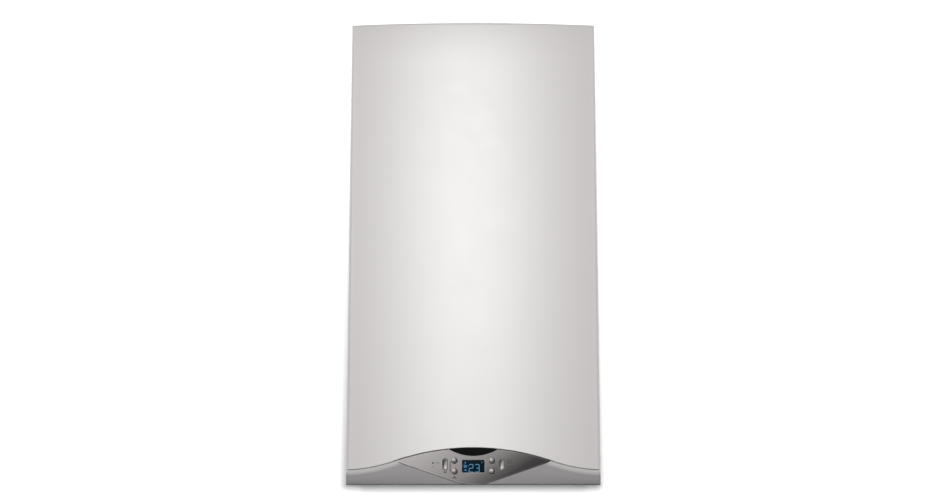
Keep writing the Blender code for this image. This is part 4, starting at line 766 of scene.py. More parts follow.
SLOT_MATERIALS = {
    "painted_casing": enamel(),
    "zinc_steel": zinc(),
    "silver_plastic": silver_plastic("silver_plastic", (0.34, 0.33, 0.32), 0.34),
    # The fascia's grey plastic, with its painted highlight on the lip and painted shade under the foot
    "grey_plastic": fascia_plastic_painted_light(),
    "black_gloss": black_gloss(),
    "dark_plastic": moulded("dark_plastic", (0.035, 0.035, 0.038), 0.5),
    "display_glass": display_glass(),
    "brass": bright_metal("brass", (0.72, 0.53, 0.26), 0.32, (1, 1, 8)),
    "copper": bright_metal("copper", (0.80, 0.42, 0.27), 0.28, (1, 1, 8)),
    "rubber": moulded("rubber", (0.03, 0.03, 0.03), 0.8),
    "red_paint": moulded("red_paint", (0.48, 0.035, 0.03), 0.38),
    "red_plastic": moulded("red_plastic", (0.55, 0.03, 0.025), 0.35),
    "blue_plastic": moulded("blue_plastic", (0.02, 0.09, 0.38), 0.38),
    "board": circuit_board(),
    "white_plastic": moulded("white_plastic", (0.66, 0.66, 0.63), 0.45),
    "cast_aluminium": cast_aluminium(),
    "stainless": bright_metal("stainless", (0.62, 0.62, 0.62), 0.3, (1, 8, 1)),
}
# The eye's lacquer with its painted reflection
EYE_SILVER_PAINTED_REFLECTION = eye_silver_painted_reflection()
# A lighter copy of the eye's lacquer for the beads and rings: a painted highlight
EYE_RIM_PAINTED_HIGHLIGHT = eye_silver_painted_reflection("eye_rim_painted_highlight", 1.3, 0.04)
DISPLAY_LIGHT = display_light()
# Silver of the button caps and rocker keys, with painted shading
KEY_SILVER_PAINTED_SHADING = key_silver_painted_shading()
# Grey of the display's lip, also the painted light of the pale strips in the shut line
SURROUND_AND_SEAM_LIGHT = silver_plastic("display_surround", (0.29, 0.29, 0.285), 0.4, metallic=0.1)
# Painted shadow for the grooves round the keys and along the eye
GROOVE_PAINTED_SHADOW = ink_and_painted_shadow("groove_shadow", (0.035, 0.034, 0.033))
# Black ink for the printed marks, also the painted shadow in the shut line over the eye
INK_AND_PAINTED_SHADOW = ink_and_painted_shadow("ink", (0.015, 0.015, 0.014))
PANEL_ENAMEL = panel_enamel()
PANELS = ("top_panel", "left_side_panel", "right_side_panel")


def dress_nodes():
    """Every CAD node gets the finish of its slot in the record."""
    for entry in frame["record"]["subparts"]:
        node = frame["nodes"][entry["node"]]
        node.data.materials.clear()
        finish = PANEL_ENAMEL if entry["node"] in PANELS else SLOT_MATERIALS[entry["material_slot"]]
        node.data.materials.append(finish)


def piece(obj, body, slot, material=None, replaces=()):
    """Give a new piece its body and its look, from its slot unless a material is given, and hide the CAD
    nodes it stands for.
    """
    obj.data.materials.clear()
    obj.data.materials.append(material or SLOT_MATERIALS[slot])
    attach(obj, body)
    if replaces:
        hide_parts(*replaces)


def painted_highlight_bead(name, outline, profile, closed=True):
    """A silver bead on the eye panel, in the lighter copy of the lacquer: a painted highlight."""
    piece(trace(name, outline, profile, closed), "control_panel", "silver_plastic", EYE_RIM_PAINTED_HIGHLIGHT)


def painted_shadow_line(name, outline, profile, closed=True):
    """A dark strip in a groove of the eye panel or beside it: a painted shadow."""
    piece(trace(name, outline, profile, closed), "control_panel", "dark_plastic", GROOVE_PAINTED_SHADOW)


# Casing


def cover_path(x, inset):
    """From the cover's back edge over its top, round the top bend and down the front to the seam."""
    top = CASE_TOP - FOOT - inset
    low = seam_height(x) + SHUT_LINE / 2
    front = front_distance(x, inset)
    bend = TOP_BEND - inset
    path = [place(x, top, COVER_BACK)]
    for sine, cosine in quarter(6):
        path.append(place(x, top - bend * (1 - cosine), front - bend * (1 - sine)))
    steps = 12
    start = top - bend
    return path + [place(x, start + (low - start) * k / steps, front) for k in range(1, steps + 1)]


def front_cover():
    """One painted sheet with its top and its sides folded back."""
    cover = soften(front_shell("cover_skin", cover_path, 64, SHEET), 0.0003)
    piece(cover, "casing", "painted_casing", replaces=["front_cover"])


def cover_screws():
    """Cross-headed screws through the cover's side returns."""
    turns = [FULL_TURN * k / 32 for k in range(32)]
    for side, name in SIDES:
        node = f"cover_screw_{name}"
        low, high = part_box(node)
        middle = (low + high) / 2
        radius = (high.z - low.z) / 2
        near, far = (low.x, high.x) if side < 0 else (high.x, low.x)
        near -= side * SCREW_SUNK
        base = near - side * 0.0015
        profile = [(0, far), (radius / 2, far), (radius / 2, base), (radius, base)]
        profile += [(radius, near - side * 0.0008), (radius * 0.8, near - side * 0.0002)]
        profile += [(radius * 0.4, near), (0, near)]
        rows = []
        for reach, x in profile:
            rows.append([(x, middle.y + reach * math.cos(t), middle.z + reach * math.sin(t)) for t in turns])
        screw = loft(f"screw_{name}", rows)
        ends = sorted((near + side * 0.001, near - side * 0.0009))
        for wide, tall in ((0.0006, 0.0044), (0.0044, 0.0006)):
            corners = rectangle(middle.y, middle.z, wide, tall)
            carve(screw, [loft("recess", [[(x, y, z) for y, z in corners] for x in ends])])
        piece(screw, "casing", "zinc_steel", replaces=[node])


def upright(node):
    """Foot, top, radius and axis of a node that is turned about an upright axis."""
    low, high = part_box(node)
    return low.z, high.z, (high.x - low.x) / 2, ((low.x + high.x) / 2, (low.y + high.y) / 2, 0)


def flue_collar():
    """Smooth collar on top of the casing, with four screws in its flange."""
    base, top, flange, centre = upright("flue_collar")
    outer, inner = COLLAR_RADIUS, COLLAR_RADIUS - COLLAR_WALL
    profile = [(inner, base), (flange, base), (flange, base + 0.0012), (flange - 0.001, base + SHEET)]
    profile += [(outer + 0.003, base + SHEET), (outer + 0.0008, base + 0.0032), (outer, base + 0.005)]
    profile += [(outer, top - 0.008), (outer - 0.0006, top - 0.007), (outer, top - 0.006)]
    profile += [(outer, top - 0.0006), (outer - 0.0006, top), (inner + 0.0004, top), (inner, top - 0.0004)]
    collar = turned("flue_collar_skin", profile, "z", centre, 96)
    piece(collar, "casing", "cast_aluminium", replaces=["flue_collar"])
    head = [(0, -0.0005), (0.0045, -0.0005), (0.0045, 0.001), (0.0035, 0.0022), (0.0012, 0.0024), (0, 0.0018)]
    reach = flange - COLLAR_SCREW_INSET
    for k in range(4):
        turn = math.radians(45 + 90 * k)
        spot = (reach * math.cos(turn), centre[1] + reach * math.sin(turn), base + SHEET)
        piece(turned(f"collar_screw_{k}", head, "z", spot, 24), "casing", "zinc_steel")


def flue_duct():
    """Inner flue pipe with its wide lower socket."""
    foot, top, wide, centre = upright("flue_duct")
    inner, outer = FLUE_RADIUS, FLUE_RADIUS + COLLAR_WALL
    shoulder, neck = foot + FLUE_SHOULDER, foot + FLUE_NECK
    profile = [(wide - COLLAR_WALL, foot), (wide, foot), (wide, shoulder), (outer, neck)]
    profile += [(outer, top - 0.0004), (outer - 0.0004, top), (inner + 0.0004, top), (inner, top - 0.0004)]
    profile += [(inner, neck), (wide - COLLAR_WALL, shoulder)]
    duct = turned("flue_duct_skin", profile, "z", centre, 72)
    piece(duct, "casing", "white_plastic", replaces=["flue_duct"])


def air_port_cap():
    """Blank cap over the second air port."""
    foot, top, radius, centre = upright("air_port_cover")
    profile = [(0, foot), (radius, foot), (radius, top - 0.0018), (radius - 0.0006, top - 0.0012)]
    profile += [(radius - 0.0035, top - 0.0004), (radius - 0.006, top), (0, top)]
    cap = turned("air_port_cap", profile, "z", centre, 96)
    piece(cap, "casing", "painted_casing", PANEL_ENAMEL, replaces=["air_port_cover"])


# Fascia and its eye-shaped panel


def fascia_path(x, inset):
    """From the fascia's lower back edge under and up the front, round the lip and back over the top."""
    high = seam_height(x) - SHUT_LINE / 2 - inset
    front = front_distance(x, inset) - SET_BACK
    bend = max(FASCIA_FOOT_BEND - inset, 0.0003)
    lip = FASCIA_LIP - inset
    path = [place(x, inset, FASCIA_BACK)]
    for sine, cosine in quarter(4):
        path.append(place(x, inset + bend * (1 - cosine), front - bend * (1 - sine)))
    for sine, cosine in quarter(8):
        path.append(place(x, high - lip * (1 - sine), front - LIP_DEPTH * (1 - cosine)))
    return path + [place(x, high, CASE_DEPTH - 0.034)]


def button_places():
    """Name, x and height of each round button."""
    rows = (("upper", BUTTON_UPPER), ("lower", BUTTON_LOWER))
    return [(f"{row}_{name}", side * BUTTON_REACH, z) for side, name in SIDES for row, z in rows]


def key_cutters(clearance, window_margin):
    """Cutters for the buttons, the rocker keys and the display."""
    outlines = [arc((x, z), BUTTON_RADIUS + KEY_GAP, 0, 354, 59) for _, x, z in button_places()]
    wide, tall = ROCKER_WIDTH + 2 * KEY_GAP, ROCKER_HEIGHT + 2 * clearance
    outlines += [capsule(side * ROCKER_REACH, ROCKER_CENTRE, wide, tall) for side, _ in SIDES]
    wide, tall = DISPLAY_WIDTH + 2 * window_margin, DISPLAY_HEIGHT + 2 * window_margin
    outlines.append(rectangle(0, DISPLAY_CENTRE, wide, tall))
    return [prism("hole", outline, CUT_FROM, CUT_TO) for outline in outlines]


def fascia():
    """The grey band under the cover, with holes for the keys and the display."""
    skin = front_shell("fascia_skin", fascia_path, 72, FASCIA_WALL)
    carve(skin, key_cutters(KEY_CLEARANCE, -0.001))
    piece(skin, "control_panel", "grey_plastic", replaces=["fascia"])


def eye_layer(name, half, spans, low_edge, bend):
    """A thin plate that follows the front from a lower edge up to the seam, its front edges chamfered."""
    sections = []
    for x in across(half, spans):
        front = front_distance(x)
        back = front - EYE_THICKNESS
        low, high = low_edge(x), seam_height(x) - SHUT_LINE / 2
        edge = min(bend, (high - low) / 4)
        section = [(low, back), (low, front - edge), (low + edge, front), (high - edge, front)]
        section += [(high, front - edge), (high, back)]
        sections.append([place(x, z, distance) for z, distance in section])
    return loft(name, sections)


def eye_panel():
    """Silver plate with holes for the keys and the display, and a notch for the badge."""
    plate = eye_layer("eye_plate", EYE_HALF_WIDTH - EYE_TIP, 96, eye_bottom, 0.0005)
    notch = [(x, badge_bottom(x) - KEY_GAP) for x in across(BADGE_HALF_WIDTH, 48)]
    above = SEAM_ARCH_HEIGHT * 1.2
    notch += [(BADGE_HALF_WIDTH, above), (-BADGE_HALF_WIDTH, above)]
    carve(plate, key_cutters(KEY_CLEARANCE, KEY_GAP) + [prism("notch", notch, CUT_FROM, CUT_TO)])
    piece(plate, "control_panel", "silver_plastic", EYE_SILVER_PAINTED_REFLECTION, replaces=["eye_panel"])


def badge():
    """Black crescent with a softened edge, nothing on it."""
    crescent = eye_layer("badge_skin", BADGE_HALF_WIDTH - 0.0015, 64, badge_bottom, 0.0006)
    piece(crescent, "control_panel", "black_gloss", replaces=["badge_crescent"])


def eye_trim():
    """A pale bead along the arch and the lower edge, a painted highlight, and the dark line outside it, a
    painted shadow.
    """
    half = EYE_HALF_WIDTH - EYE_TIP - 0.003
    xs = [-half + (half - BADGE_HALF_WIDTH) * i / 45 for i in range(46)]
    for name, side in (("left", 1), ("right", -1)):
        arch = [(side * x, seam_height(x) - SHUT_LINE / 2 - BEAD_UNDER_SEAM) for x in xs]
        painted_highlight_bead(f"arch_bead_{name}", arch, BEAD, closed=False)
        painted_shadow_line(f"arch_line_{name}", [(x, z + LINE_OVER_BEAD) for x, z in arch], ARCH_LINE, closed=False)
    lower = [(x, eye_bottom(x)) for x in across(half, 90)]
    painted_highlight_bead("lower_bead", [(x, z + BEAD_OVER_FOOT) for x, z in lower], BEAD, closed=False)
    outside = [(x, max(z - EYE_LINE / 2, 0.0003)) for x, z in lower]
    painted_shadow_line("lower_line", outside, flat_line(EYE_LINE, -0.0015, -0.0003), closed=False)


# Display, buttons and rocker keys


def display():
    """Dark pane with a grey lip round it."""
    outline = rectangle(0, DISPLAY_CENTRE, DISPLAY_WIDTH, DISPLAY_HEIGHT)
    window = soften(prism("window_pane", outline, CASE_DEPTH - EYE_THICKNESS + 0.0001, PANE_FRONT), 0.0002)
    piece(window, "control_panel", "display_glass", replaces=["display_window"])
    frame_line = rectangle(0, DISPLAY_CENTRE, DISPLAY_WIDTH + 0.0006, DISPLAY_HEIGHT + 0.0006)
    lip = [(0.0, -0.0006), (0.0, 0.0001), (-0.0003, 0.00025), (-0.0007, 0.00025), (-0.0009, -0.0001)]
    piece(trace("display_surround", frame_line, lip), "control_panel", "silver_plastic", SURROUND_AND_SEAM_LIGHT)


def pane_face(x):
    """The display pane's flat front, the same at every x."""
    return PANE_FRONT


def lit(name, outline, width=None, closed=False):
    """A lit shape on the display: a filled outline, or a line of the given width."""
    if width:
        made = trace(name, outline, stroke(width, LIT_THICKNESS), closed, pane_face)
    else:
        made = decal(name, outline, LIT_THICKNESS, pane_face)
    piece(made, "control_panel", "display_glass", DISPLAY_LIGHT)


def digits():
    """The figures 23 in rounded strokes."""
    cut = DIGIT_CHAMFER
    bottom = DISPLAY_CENTRE - DISPLAY_HEIGHT / 2 + DIGIT_FOOT
    middle, top = bottom + DIGIT_HEIGHT / 2, bottom + DIGIT_HEIGHT
    left = DIGIT_LEFTS[0]
    right = left + DIGIT_WIDTH
    two = [(left, top - cut), (left + cut, top), (right - cut, top), (right, top - cut)]
    two += [(right, middle + cut), (right - cut, middle), (left + cut, middle), (left, middle - cut)]
    two += [(left, bottom), (right, bottom)]
    lit("digit_two", two, DIGIT_LINE)
    left = DIGIT_LEFTS[1]
    right = left + DIGIT_WIDTH
    three = [(left, top - cut / 2), (left + cut, top), (right - cut, top), (right, top - cut)]
    three += [(right, middle + cut), (right - cut / 2, middle), (right, middle - cut)]
    three += [(right, bottom + cut), (right - cut, bottom), (left + cut, bottom), (left, bottom + cut / 2)]
    lit("digit_three", three, DIGIT_LINE)
    lit("digit_three_bar", [(left + 0.0020, middle), (right - cut / 2, middle)], DIGIT_LINE)


def display_icons():
    """Small plain signs: a flame, a radiator, a tap's drop and a bar."""
    x, z = ICON_COLUMN, FLAME_HEIGHT
    flame = arc((x, z - 0.0008), 0.0011, 180, 360, 10)
    flame += [(x + 0.0007, z + 0.0004), (x + 0.0001, z + 0.0018), (x - 0.0005, z + 0.0006)]
    lit("icon_flame", flame)
    z = RADIATOR_HEIGHT
    for k in range(4):
        lit(f"icon_radiator_bar_{k}", rectangle(x - 0.0021 + 0.0014 * k, z, 0.0008, 0.0036, 0.0003))
    lit("icon_radiator_rail", rectangle(x, z - 0.0026, 0.0056, 0.0006))
    lit("icon_dash", rectangle(x + 0.0047, z - 0.0002, 0.0014, 0.0009))
    z = TAP_HEIGHT
    lit("icon_tap_body", rectangle(x, z, 0.0040, 0.0012, 0.0003))
    lit("icon_tap_stem", rectangle(x + 0.0004, z + 0.0011, 0.0010, 0.0012))
    lit("icon_drop", arc((x + 0.0022, z - 0.0012), 0.0006, 0, 330, 11))
    lit("icon_clock", arc((0.0148, DISPLAY_CENTRE + 0.0066), 0.0010, 0, 345, 23), 0.0004, closed=True)


def buttons():
    """Domed caps with painted shading, each with a dark strip in its groove, a painted shadow, and a pale
    ring round it, a painted highlight.
    """
    rim = KEY_GAP + 0.0001
    wide = BUTTON_RADIUS + 0.0015
    rise = BUTTON_PROUD + 0.0006
    groove = [(0.0, -0.0008), (0.0, 0.00005), (-rim, 0.00005), (-rim, -0.0008)]
    ring = [(-rim, -0.0004), (-rim, 0.0002), (-0.0008, 0.0003), (-0.0012, 0.0001), (-0.0013, -0.0004)]
    for name, x, z in button_places():
        low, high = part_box(f"button_{name}")
        front, back = low.y, high.y
        profile = [(BUTTON_RADIUS * sine, front + rise * (1 - cosine)) for sine, cosine in quarter(12)]
        profile += [(BUTTON_RADIUS, back - 0.001), (wide, back - 0.001), (wide, back), (0, back)]
        cap = turned(f"cap_{name}", profile, "y", (x, 0, FOOT + z), 48)
        piece(cap, f"key_{name}", "silver_plastic", KEY_SILVER_PAINTED_SHADING, replaces=[f"button_{name}"])
        circle = arc((x, z), BUTTON_RADIUS + KEY_GAP, 0, 352.5, 47)
        painted_shadow_line(f"groove_{name}", circle, groove)
        painted_highlight_bead(f"ring_{name}", circle, ring)


def scooped_key(name, x, back, face):
    """An upright oval whose face is hollow, steep on its left and shallow on its right."""
    outline = capsule(x, ROCKER_CENTRE, ROCKER_WIDTH, ROCKER_HEIGHT, 20)
    steps = 12
    sections = [[(px, -back, FOOT + pz) for px, pz in outline]]
    for sine, cosine in quarter(3):
        shrink = 1 - KEY_EDGE * (1 - cosine) / (ROCKER_WIDTH / 2)
        distance = face - KEY_EDGE + KEY_EDGE * sine
        sections.append(scaled(outline, x, shrink, lambda u, d=distance: d))
    for k in range(steps):
        share = 1 - (k + 0.6) / steps
        hollow = SCOOP * (1 - share * share)
        sections.append(scaled(outline, x, 0.88 * share, lambda u, h=hollow: face - h * (1 - 0.8 * u)))
    return loft(name, sections, 60)


def scaled(outline, x, share, distance_at):
    """A smaller copy of a key's outline. distance_at takes -1 at its left edge to 1 at its right."""
    points = []
    for px, pz in outline:
        distance = distance_at(share * (px - x) / (ROCKER_WIDTH / 2))
        points.append(place(x + (px - x) * share, ROCKER_CENTRE + (pz - ROCKER_CENTRE) * share, distance))
    return points


def rockers():
    """Upright oval keys with a hollow face and painted shading, in a rounded surround: a dark strip in the
    groove, a painted shadow, and a pale ring, a painted highlight.
    """
    wide, tall = ROCKER_WIDTH + 2 * KEY_GAP, ROCKER_HEIGHT + 2 * KEY_CLEARANCE
    groove = [(0.0, -0.0008), (0.0, 0.00005), (-0.0005, 0.00005), (-0.0005, -0.0008)]
    ring = [(-0.0005, -0.0004), (-0.0005, 0.0002), (-0.0009, 0.0003), (-0.0014, 0.0001), (-0.0015, -0.0004)]
    for side, name in SIDES:
        x = side * ROCKER_REACH
        low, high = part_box(f"rocker_{name}")
        key = scooped_key(f"rocker_key_{name}", x, -high.y, -low.y)
        piece(key, f"key_rocker_{name}", "silver_plastic", KEY_SILVER_PAINTED_SHADING, replaces=[f"rocker_{name}"])
        edge = capsule(x, ROCKER_CENTRE, wide, tall)
        painted_shadow_line(f"rocker_groove_{name}", edge, groove)
        painted_highlight_bead(f"rocker_ring_{name}", edge, ring)


def ink(name, outline, width=None, closed=False):
    """A printed mark: a filled outline, or a line of the given width."""
    made = trace(name, outline, stroke(width), closed) if width else decal(name, outline)
    piece(made, "control_panel", "dark_plastic", INK_AND_PAINTED_SHADOW)


def printed_marks():
    """Small generic signs beside the keys, and the bracket line that joins two of them."""
    x, end = BRACKET_COLUMN, BRACKET_COLUMN + BRACKET_REACH
    bracket = [(end, BUTTON_UPPER - 0.0005), (x, BUTTON_UPPER - 0.0025), (x, BUTTON_LOWER + 0.001)]
    ink("mark_bracket", bracket + [(end, BUTTON_LOWER - 0.001)], MARK_LINE)
    ink("mark_square", rectangle(-0.0695, 0.0376, 0.0030, 0.0030, 0.0005))
    ink("mark_dash", rectangle(-0.0605, 0.0375, 0.0038, 0.0011, 0.0003))
    ink("mark_bar", rectangle(-0.0652, 0.0372, 0.0004, 0.0042))
    ink("mark_dot", arc((-0.0690, 0.0312), 0.0009, 0, 330, 11))
    ink("mark_reset", arc((-0.0484, 0.0226), 0.0016, 110, 400, 16), MARK_LINE)
    ink("mark_chevron", [(-0.0352, 0.0112), (-0.0322, 0.0138), (-0.0292, 0.0112)], CHEVRON_LINE)
    ink("mark_frame", rectangle(0.0622, 0.0400, 0.0056, 0.0050), MARK_LINE, closed=True)
    ink("mark_rule", rectangle(0.0650, 0.0320, 0.0100, 0.0012))
    ink("mark_tick", rectangle(0.0484, 0.0226, 0.0030, 0.0009))
    ink("mark_minus", rectangle(0.0330, 0.0125, 0.0036, 0.0012))


def seam_strip():
    """Strips in the shut line: a dark one over the eye, a painted shadow, and pale ones on both sides of it,
    painted light where the gap would be shaded.
    """
    deep = SET_BACK + 0.001
    arch = [(x, seam_height(x)) for x in across(EYE_HALF_WIDTH - 0.001, 80)]
    middle = trace("seam_painted_shadow", arch, flat_line(0.0009, -deep, -0.0002), closed=False)
    piece(middle, "casing", "rubber", INK_AND_PAINTED_SHADOW)
    start, end = EYE_HALF_WIDTH + 0.002, HALF_WIDTH - 0.0025
    for side, name in SIDES:
        xs = [side * (start + (end - start) * k / 40) for k in range(41)]
        line = [(x, seam_height(x)) for x in xs]
        strip = trace(f"seam_strip_{name}", line, flat_line(0.0009, -deep, -0.0001), closed=False)
        piece(strip, "casing", "silver_plastic", SURROUND_AND_SEAM_LIGHT)


# Fixings, ribs and threads on the top, sides, back and underside


def screw_head():
    """A cross-headed screw of radius 1 that stands up along z."""
    profile = [(0, -0.15), (1, -0.15), (1, 0.16), (0.88, 0.33), (0.6, 0.43), (0, 0.47)]
    head = turned("screw_head", profile, "z", (0, 0, 0), 20)
    for wide, deep in ((0.18, 1.1), (1.1, 0.18)):
        corners = rectangle(0, 0, wide, deep)
        carve(head, [loft("recess", [[(x, y, z) for x, y in corners] for z in (0.2, 0.7)])])
    return head


def fixings(name, head, radius, out, spots, body="casing"):
    """Copies of a screw head at the given spots, all turned to the direction out, as one piece."""
    turn = Vector(out).to_track_quat("Z", "Y").to_matrix().to_4x4()
    shape = bmesh.new()
    for spot in spots:
        copy = head.data.copy()
        copy.transform(Matrix.Translation(spot) @ turn @ Matrix.Scale(radius, 4))
        shape.from_mesh(copy)
        bpy.data.meshes.remove(copy)
    piece(shaped(name, bpy.data.meshes.new(name), shape), body, "zinc_steel")


def panel_screws():
    """Screws along the folded edges of the panels, and under the bottom plate and the control box."""
    head = screw_head()
    columns = (-HALF_WIDTH + SCREW_INSET, HALF_WIDTH - SCREW_INSET)
    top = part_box("top_panel")[1].z
    spots = [(x, y, top) for x in columns for y in (-0.030, -0.180, -0.330)]
    fixings("top_screws", head, TOP_SCREW_RADIUS, (0, 0, 1), spots)
    for side, name in SIDES:
        spots = [(side * HALF_WIDTH, -0.006, FOOT + 0.045 + 0.240 * k) for k in range(4)]
        fixings(f"side_screws_{name}", head, SIDE_SCREW_RADIUS, (side, 0, 0), spots)
    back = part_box("rear_frame")[1].y
    spots = [(x, back, FOOT + 0.030 + 0.108 * k) for x in columns for k in range(8)]
    spots += [(x, back, FOOT + 0.020) for x in (-0.12, 0, 0.12)]
    fixings("rear_screws", head, SCREW_RADIUS, (0, 1, 0), spots)
    low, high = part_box("bottom_plate")
    rows = (high.y - 0.010, low.y + 0.008)
    spots = [(x, y, low.z) for x in (-0.19, -0.0975, 0.0975, 0.19) for y in rows]
    fixings("plate_screws", head, SCREW_RADIUS, (0, 0, -1), spots)
    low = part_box("control_box")[0]
    spots = [(x, y, low.z) for x in (-0.185, 0.185) for y in (low.y + 0.014, low.y + 0.112)]
    fixings("box_screws", head, SCREW_RADIUS, (0, 0, -1), spots, "control_panel")
    bpy.data.objects.remove(head)


def rear_ribs():
    """Pressed beads that stiffen the rear sheet: a long frame and three cross beads inside it."""
    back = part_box("rear_frame")[1].y
    half = REAR_BEAD_HALF_WIDTH
    turns = [math.pi * k / 8 for k in range(9)]
    bead = [(half * math.cos(turn), -REAR_BEAD_HEIGHT * math.sin(turn)) for turn in turns]
    bead += [(-half, 0.0004), (half, 0.0004)]

    def pressed(name, outline):
        piece(trace(name, outline, bead, surface=lambda x: -back), "casing", "zinc_steel")

    pressed("rear_bead_frame", rectangle(0, REAR_BEAD_MIDDLE, 0.350, 0.560, 0.045, 8))
    for k in range(3):
        ends = capsule(0, REAR_BEAD_MIDDLE + 0.140 * (k - 1), 0.020, 0.020, 6)
        shifts = [REAR_BEAD_REACH if x > 0 else -REAR_BEAD_REACH for x, _ in ends]
        pressed(f"rear_bead_{k}", [(x + shift, z) for (x, z), shift in zip(ends, shifts)])


def threads():
    """Outside threads and sealing rings on the pipe tails."""
    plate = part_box("bottom_plate")[0].z
    radius, wide = THREAD_RADIUS, SEAL_RADIUS
    thread = [(radius - 0.0004, plate + 0.0006), (radius - 0.0004, plate - 0.0106)]
    for step in range(7):
        z = plate - 0.0104 + THREAD_PITCH * step
        thread += [(radius + 0.0001, z), (radius + THREAD_DEPTH, z + THREAD_PITCH / 2)]
    thread.append((radius + 0.0001, plate - 0.0004))
    seal = [(radius, plate + 0.0002), (wide, plate + 0.0002), (wide, plate - 0.0014)]
    seal += [(wide - 0.0007, plate - 0.0020), (radius + 0.0012, plate - 0.0020), (radius, plate - 0.0014)]
    for k, (x, metal) in enumerate(TAILS):
        piece(turned(f"thread_{k}", thread, "z", (x, TAIL_ROW, 0), 48), "casing", metal)
        piece(turned(f"seal_{k}", seal, "z", (x, TAIL_ROW, 0), 48), "casing", "rubber")


def rib(name, section, y, z, start, end):
    """A moulded bar on the control box along x, its section (across, up) set at y and z."""
    ends = [[(x, y + across, z + up) for across, up in section] for x in (start, end)]
    piece(loft(name, ends), "control_panel", "dark_plastic")


def box_ribs():
    """Moulded ribs and a frame under the control box."""
    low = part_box("control_box")[0]
    face = low.z + 0.0004
    section = [(-0.0016, 0.0), (0.0016, 0.0), (0.0009, -0.0015), (-0.0009, -0.0015)]
    for side, name in SIDES:
        for k in range(9):
            y = low.y + 0.030 + BOX_RIB_PITCH * k
            rib(f"box_rib_{name}_{k}", section, y, face, side * 0.045, side * 0.165)
    width, depth = BOX_FRAME_SIZE
    rows = []
    for inset, drop in ((0.0, 0.0), (0.001, 0.0014), (0.003, 0.0014), (0.004, 0.0)):
        corners = rectangle(0, low.y + 0.004 + depth / 2, width - 2 * inset, depth - 2 * inset)
        rows.append([(x, y, face - drop) for x, y in corners])
    piece(loft("box_frame", rows + [rows[0]]), "control_panel", "dark_plastic")


def box_top():
    """Cable grommets and stiffening ribs on top of the control box, seen when the panel hangs down."""
    low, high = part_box("control_box")
    heights = [(0.0045, -0.0005), (0.0105, -0.0005), (0.0105, 0.0012), (0.0095, 0.0022)]
    heights += [(0.0070, 0.0026), (0.0062, 0.0058), (0.0050, 0.0062), (0.0045, 0.0055)]
    grommet = [(radius, high.z + up) for radius, up in heights]
    for k, x in enumerate(GROMMETS):
        piece(turned(f"box_grommet_{k}", grommet, "z", (x, low.y + 0.105, 0), 40), "control_panel", "rubber")
    section = [(-0.0014, -0.0004), (0.0014, -0.0004), (0.0008, 0.0013), (-0.0008, 0.0013)]
    for k in range(3):
        rib(f"box_top_rib_{k}", section, low.y + 0.052 + 0.015 * k, high.z, -0.175, 0.175)


# Stage, lights and camera


def pale_stage(name, shade=None):
    """A pale surface that takes shadows, with its own white to the camera and in reflections.

    shade builds a factor from 0 to 1 that dims that white where the object is close."""
    material = bpy.data.materials.new(name)
    tree = Nodes(material)
    tree.nodes.remove(tree.nodes["Principled BSDF"])
    strength = tree.math("MULTIPLY", tree.rays(), STAGE_GLOW)
    if shade:
        strength = tree.math("MULTIPLY", strength, shade(tree))
    glow = tree.node("ShaderNodeEmission", Color=(1, 1, 1, 1), Strength=strength)
    matte = tree.node("ShaderNodeBsdfDiffuse", Color=(STAGE_MATTE, STAGE_MATTE, STAGE_MATTE, 1))
    clear = tree.node("ShaderNodeBsdfTransparent")
    both = tree.node("ShaderNodeAddShader")
    sided = tree.node("ShaderNodeMixShader")
    tree.feed(both.inputs[0], matte.outputs[0])
    tree.feed(both.inputs[1], glow.outputs[0])
    tree.feed(sided.inputs[0], tree.node("ShaderNodeNewGeometry").outputs["Backfacing"])
    tree.feed(sided.inputs[1], both.outputs[0])
    tree.feed(sided.inputs[2], clear.outputs[0])
    tree.feed(tree.nodes["Material Output"].inputs["Surface"], sided.outputs[0])
    return material


def contact_shade(tree):
    """Dims the wall close round the casing, most at its lower edge and a little more on its left."""
    where = tree.node("ShaderNodeTexCoord").outputs["Object"]
    parts = tree.node("ShaderNodeSeparateXYZ", Vector=where)
    x, z = parts.outputs["X"], parts.outputs["Z"]
    hidden = tree.ranged(z, FOOT, CASE_TOP, *SHADE_SIDE_DEPTH)
    sides = [(x, SHADE_LEFT, "SMOOTHSTEP"), (x, SHADE_RIGHT, "SMOOTHSTEP"), (z, SHADE_BELOW, "LINEAR")]
    for value, reach, shape in sides:
        inside = tree.ranged(value, *reach, 1.0, 0.0, shape)
        hidden = tree.math("MULTIPLY", hidden, inside)
    return tree.math("SUBTRACT", 1.0, hidden)


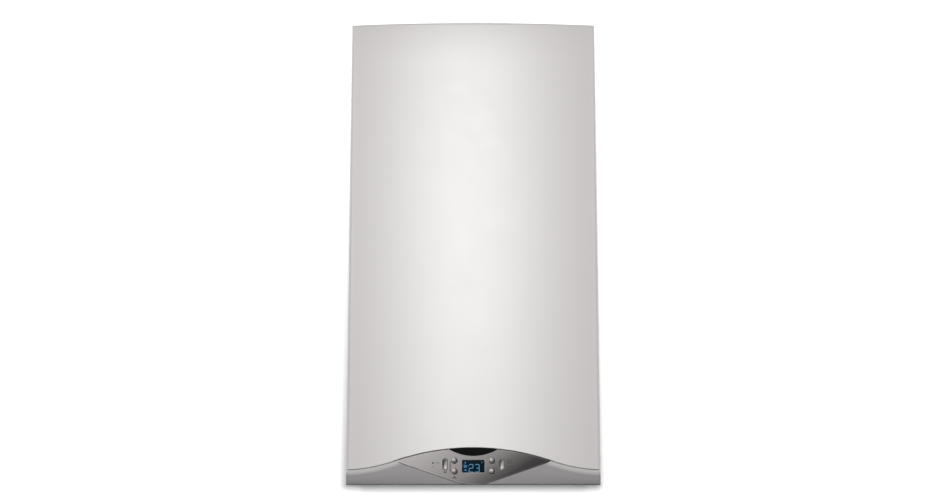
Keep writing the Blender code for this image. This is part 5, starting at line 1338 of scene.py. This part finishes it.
def backdrop():
    """The wall behind the casing and a floor below it, each seen from its front only."""
    wide = STAGE_HALF_WIDTH
    foot = [(-wide, WALL_FACE, FLOOR_HEIGHT), (wide, WALL_FACE, FLOOR_HEIGHT)]
    wall = foot + [(wide, WALL_FACE, STAGE_TOP), (-wide, WALL_FACE, STAGE_TOP)]
    floor = [(-wide, STAGE_FRONT, FLOOR_HEIGHT), (wide, STAGE_FRONT, FLOOR_HEIGHT), foot[1], foot[0]]
    surfaces = [("wall", wall, Vector((0, -1, 0)), contact_shade), ("floor", floor, Vector((0, 0, 1)), None)]
    for name, corners, normal, shade in surfaces:
        obj = mesh_piece(name, corners, [[0, 1, 2, 3]])
        if obj.data.polygons[0].normal.dot(normal) < 0:
            obj.data.flip_normals()
        obj.data.materials.append(pale_stage(name, shade))
        obj.visible_diffuse = False
        obj.visible_glossy = False
        obj.visible_shadow = False


def world():
    """Dim light from all round, white to the camera and in reflections."""
    studio = bpy.data.worlds.new("studio")
    bpy.context.scene.world = studio
    tree = Nodes(studio)
    background = tree.nodes["Background"]
    tree.feed(background.inputs["Color"], (1, 1, 1, 1))
    tree.feed(background.inputs["Strength"], tree.ranged(tree.rays(), 0.0, 1.0, AMBIENT, 1.0))


def lights():
    """The lamps of the list, all turned to the same place and hidden from the camera."""
    for name, spot, size, power in LAMPS:
        lamp = bpy.data.lights.new(name, "AREA")
        lamp.shape = "RECTANGLE"
        lamp.size, lamp.size_y = size
        lamp.energy = power
        obj = new_object(name, lamp)
        obj.location = spot
        aim = Vector(LAMP_AIM) - Vector(spot)
        obj.rotation_euler = aim.to_track_quat("-Z", "Y").to_euler()
        obj.visible_camera = False


def camera():
    """At the height of the casing's lower edge, looking up at its middle."""
    lens = bpy.data.cameras.new("camera")
    lens.lens = CAMERA_LENS
    lens.sensor_width = CAMERA_SENSOR
    obj = new_object("camera", lens)
    focal = CAMERA_LENS / CAMERA_SENSOR * PICTURE_WIDTH
    turn = math.atan((PICTURE_MIDDLE - PICTURE_WIDTH / 2) / focal)
    obj.location = (0, -CAMERA_FROM_WALL, FOOT - CAMERA_BELOW_FOOT)
    obj.rotation_euler = (math.radians(90 + CAMERA_PITCH), 0, turn)
    bpy.context.scene.camera = obj


dress_nodes()
front_cover()
cover_screws()
flue_collar()
flue_duct()
air_port_cap()
fascia()
eye_panel()
badge()
eye_trim()
display()
digits()
display_icons()
buttons()
rockers()
printed_marks()
seam_strip()
panel_screws()
rear_ribs()
threads()
box_ribs()
box_top()
backdrop()
world()
lights()
camera()
bpy.context.scene.view_settings.view_transform = "Standard"
